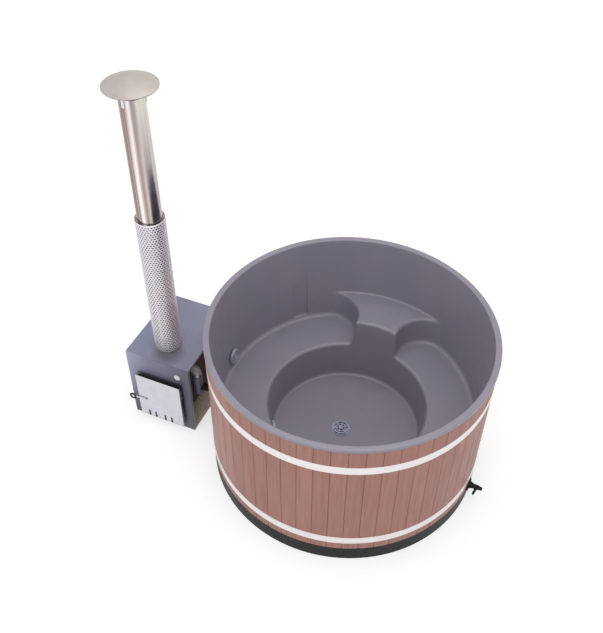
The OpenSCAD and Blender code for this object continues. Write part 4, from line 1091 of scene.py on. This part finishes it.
# The nodes that keep their shape, group by group: finish, width of the bevel, nodes and, where they aren't
# the usual ones, the bevel's segments and the angle in degrees from which an edge is sharp
COPIES = {
    "bands": (
        ("hoop_steel", 0.0006, "hoop_upper hoop_lower"),
        ("mill_steel", 0.0006, "hoop_bolts"),
        ("black_plastic", 0.002, "plinth_ring"),
        ("black_plastic", 0.001, "base_board"),
        ("raw_timber", 0.0015, "joists floor_deck bench_posts")),
    "water": (
        ("fitting_plastic", 0.0015, "wall_fittings drain_flange"),
        ("slate_plastic", 0.0015, "return_tee"),
        ("fitting_plastic", 0.0014, "inlet_grille outlet_grille drain_cover", 3),
        ("black_plastic", 0.001, "fitting_gaskets fitting_nuts wall_union drain_pipe"),
        ("hose_rubber", 0.001, "under_bench_hose flow_hose return_hose", 2, 40),
        ("brushed_steel", 0.0005, "hose_clamps")),
    "valve": (
        ("black_plastic", 0.0012, "valve_gasket valve_flange valve_body valve_lever hose_tail", 3),
        ("brushed_steel", 0.0003, "valve_ball"),
        ("mill_steel", 0.0003, "valve_stem")),
    "heater": (
        ("casing_paint", 0.0012, "casing_front casing_left casing_back casing_top"),
        ("zinc_sheet", 0.0012, "casing_floor"),
        ("black_plastic", 0.002, "heater_feet"),
        ("white_enamel", 0.0012, "front_disc", 3),
        ("boiler_skin", 0.0012, "boiler_rails firebox water_jacket"),
        ("mill_steel", 0.0008, "boiler_ports"),
        ("cast_iron", 0.002, "grate")),
    "door": (
        ("cast_iron", 0.001, "door_frame door_plate"),
        ("rope_seal", 0.001, "door_seal"),
        ("mill_steel", 0.0006, "hinge_brackets hinge_pins shield_spacers latch_cam"),
        ("brushed_steel", 0.0012, "door_shield", 3),
        ("brushed_steel", 0.0008, "latch_spindle latch_bar"),
        ("black_plastic", 0.0, "latch_grip")),
    "flue": (("guard_steel", 0.0004, "guard_spacers cap_straps"),),
}


def copy_group(group):
    """Finishes the nodes of one group, which keep their own shapes."""
    for look, bevel, nodes, *rest in COPIES[group]:
        for node in nodes.split():
            smooth_copy(node, look, bevel, *rest)


# --- the stage ---


def make_camera(studio):
    """The camera at the photograph's viewing angle."""
    camera = link("camera", bpy.data.cameras.new("camera"))
    camera.data.lens = studio.lens
    camera.data.sensor_width = 36
    camera.data.clip_end = 200
    turn = Matrix.Rotation(studio.heading - math.pi / 2, 4, "Z")
    tilt = Matrix.Rotation(math.pi / 2 - studio.dip, 4, "X")
    lean = Matrix.Rotation(studio.roll, 4, "Z")
    camera.matrix_world = Matrix.Translation(CAMERA_PLACE) @ turn @ tilt @ lean
    bpy.context.scene.camera = camera


def make_floor(studio):
    """A plain pale floor under the feet, which looks white and keeps the shadow.

    Where the camera looks it also glows, and more so far away, where less of the lamps' light comes.
    """
    half = FLOOR_REACH
    mesh = bpy.data.meshes.new("floor")
    fill_mesh(mesh, [[-half, -half, 0], [half, -half, 0], [half, half, 0], [-half, half, 0]],
              [np.array([[0, 1, 2, 3]])])
    floor = link("floor", mesh)
    material = bpy.data.materials.new("floor_white")
    material.use_nodes = True
    nodes = Nodes(material.node_tree)
    nodes.tree.nodes.remove(nodes.tree.nodes["Principled BSDF"])
    bounce, shade = (nodes.add("ShaderNodeBsdfDiffuse", [(level,) * 3]).outputs[0]
                     for level in (studio.bounce, studio.shadow))
    spot = nodes.add("ShaderNodeTexCoord").outputs["Object"]
    away = nodes.add("ShaderNodeVectorMath", [spot], operation="LENGTH").outputs["Value"]
    strength = nodes.span(away, *GLOW_REACH, *(level - studio.shadow for level in GLOW_LEVELS))
    glow = nodes.add("ShaderNodeEmission", {"Strength": strength}).outputs[0]
    pale = nodes.add("ShaderNodeAddShader", (shade, glow)).outputs[0]
    look = nodes.add("ShaderNodeMixShader", (nodes.seen(), bounce, pale)).outputs[0]
    nodes.put(nodes.tree.nodes["Material Output"].inputs["Surface"], look)
    mesh.materials.append(material)


def make_sky(studio):
    """Even light from all round, and plain white where the camera, a glossy or a clear surface sees it."""
    world = bpy.data.worlds.new("sky")
    bpy.context.scene.world = world
    world.use_nodes = True
    nodes = Nodes(world.node_tree)
    background = nodes.tree.nodes["Background"].inputs
    nodes.put(background["Color"], (1, 1, 1))
    nodes.put(background["Strength"], nodes.span(nodes.seen(), 0.0, 1.0, studio.sky, 1.0))


def make_lamp(name, strength, spot, size):
    """A square lamp at a spot, turned to the middle of the tub, as bright there as its strength says."""
    lamp = bpy.data.lights.new(name, "AREA")
    lamp.size = size
    away = np.array(spot) - np.array(AIM)
    distance = float(np.linalg.norm(away))
    lamp.energy = 4 * strength * distance * distance
    z = away / distance
    x = np.cross((0, 0, 1), z)
    x = x / np.linalg.norm(x)
    y = np.cross(z, x)
    rows = [(*row, along) for row, along in zip(np.stack([x, y, z], axis=1), spot)]
    link(name, lamp).matrix_world = Matrix([*rows, (0, 0, 0, 1)])


# --- operators ---


class TUB_OT_liner(Operator):
    """Makes the one-piece liner with its foot well, bench, step and rolled rim"""
    bl_idname = "hot_tub.liner"
    bl_label = "Moulded liner"

    def execute(self, context):
        make_liner()
        return {"FINISHED"}


class TUB_OT_staves(Operator):
    """Makes the staves with their bevelled joints"""
    bl_idname = "hot_tub.staves"
    bl_label = "Staves"

    def execute(self, context):
        make_staves()
        return {"FINISHED"}


class TUB_OT_bands(Operator):
    """Finishes the steel hoops, their bolts, the plinth and the timber behind it"""
    bl_idname = "hot_tub.bands"
    bl_label = "Hoops and plinth"

    def execute(self, context):
        copy_group("bands")
        return {"FINISHED"}


class TUB_OT_water(Operator):
    """Finishes the wall fittings, covers, hoses and clamps"""
    bl_idname = "hot_tub.water"
    bl_label = "Water circuit"

    def execute(self, context):
        copy_group("water")
        return {"FINISHED"}


class TUB_OT_valve(Operator):
    """Finishes the drain valve with its handle and hose tail"""
    bl_idname = "hot_tub.valve"
    bl_label = "Drain valve"

    def execute(self, context):
        copy_group("valve")
        return {"FINISHED"}


class TUB_OT_heater(Operator):
    """Finishes the heater's casing, boiler and grate"""
    bl_idname = "hot_tub.heater"
    bl_label = "Heater"

    def execute(self, context):
        copy_group("heater")
        return {"FINISHED"}


class TUB_OT_door(Operator):
    """Finishes the fire door with its hinges, shield and latch"""
    bl_idname = "hot_tub.door"
    bl_label = "Fire door"

    def execute(self, context):
        copy_group("door")
        return {"FINISHED"}


class TUB_OT_flue(Operator):
    """Makes the flue pipe, its perforated guard and the rain cap"""
    bl_idname = "hot_tub.flue"
    bl_label = "Flue"

    def execute(self, context):
        make_pipe()
        make_cap()
        make_guard()
        copy_group("flue")
        return {"FINISHED"}


class TUB_OT_stage(Operator):
    """Makes the pale floor, the soft light and the camera"""
    bl_idname = "hot_tub.stage"
    bl_label = "Stage"

    def execute(self, context):
        studio = context.scene.hot_tub_studio
        make_camera(studio)
        make_floor(studio)
        make_sky(studio)
        for name, strength, spot, size in LAMPS:
            make_lamp(name, getattr(studio, strength), spot, size)
        context.scene.view_settings.view_transform = "Standard"
        return {"FINISHED"}


class TUB_PT_panel(Panel):
    """Lists the steps that make the hot tub"""
    bl_label = "Hot tub"
    bl_idname = "TUB_PT_panel"
    bl_space_type = "VIEW_3D"
    bl_region_type = "UI"
    bl_category = "Hot tub"

    def draw(self, context):
        for step in STEPS:
            self.layout.operator(step.bl_idname)
        for group in GROUPS:
            box = self.layout.box()
            settings = getattr(context.scene, group)
            for name in settings.__annotations__:
                box.prop(settings, name)


STEPS = (TUB_OT_stage, TUB_OT_liner, TUB_OT_staves, TUB_OT_bands, TUB_OT_water, TUB_OT_valve, TUB_OT_heater,
         TUB_OT_door, TUB_OT_flue)
GROUPS = {"hot_tub_staves": StaveSizes, "hot_tub_liner": LinerSizes, "hot_tub_flue": FlueSizes,
          "hot_tub_tones": FinishTones, "hot_tub_studio": StudioSizes}


def register():
    for kind in (*GROUPS.values(), *STEPS, TUB_PT_panel):
        bpy.utils.register_class(kind)
    for name, kind in GROUPS.items():
        setattr(bpy.types.Scene, name, PointerProperty(type=kind))


def unregister():
    for name in GROUPS:
        delattr(bpy.types.Scene, name)
    for kind in (TUB_PT_panel, *reversed(STEPS), *reversed(GROUPS.values())):
        bpy.utils.unregister_class(kind)


def main():
    register()
    for step in STEPS:
        group, name = step.bl_idname.split(".")
        getattr(getattr(bpy.ops, group), name)()


if __name__ == "__main__":
    main()
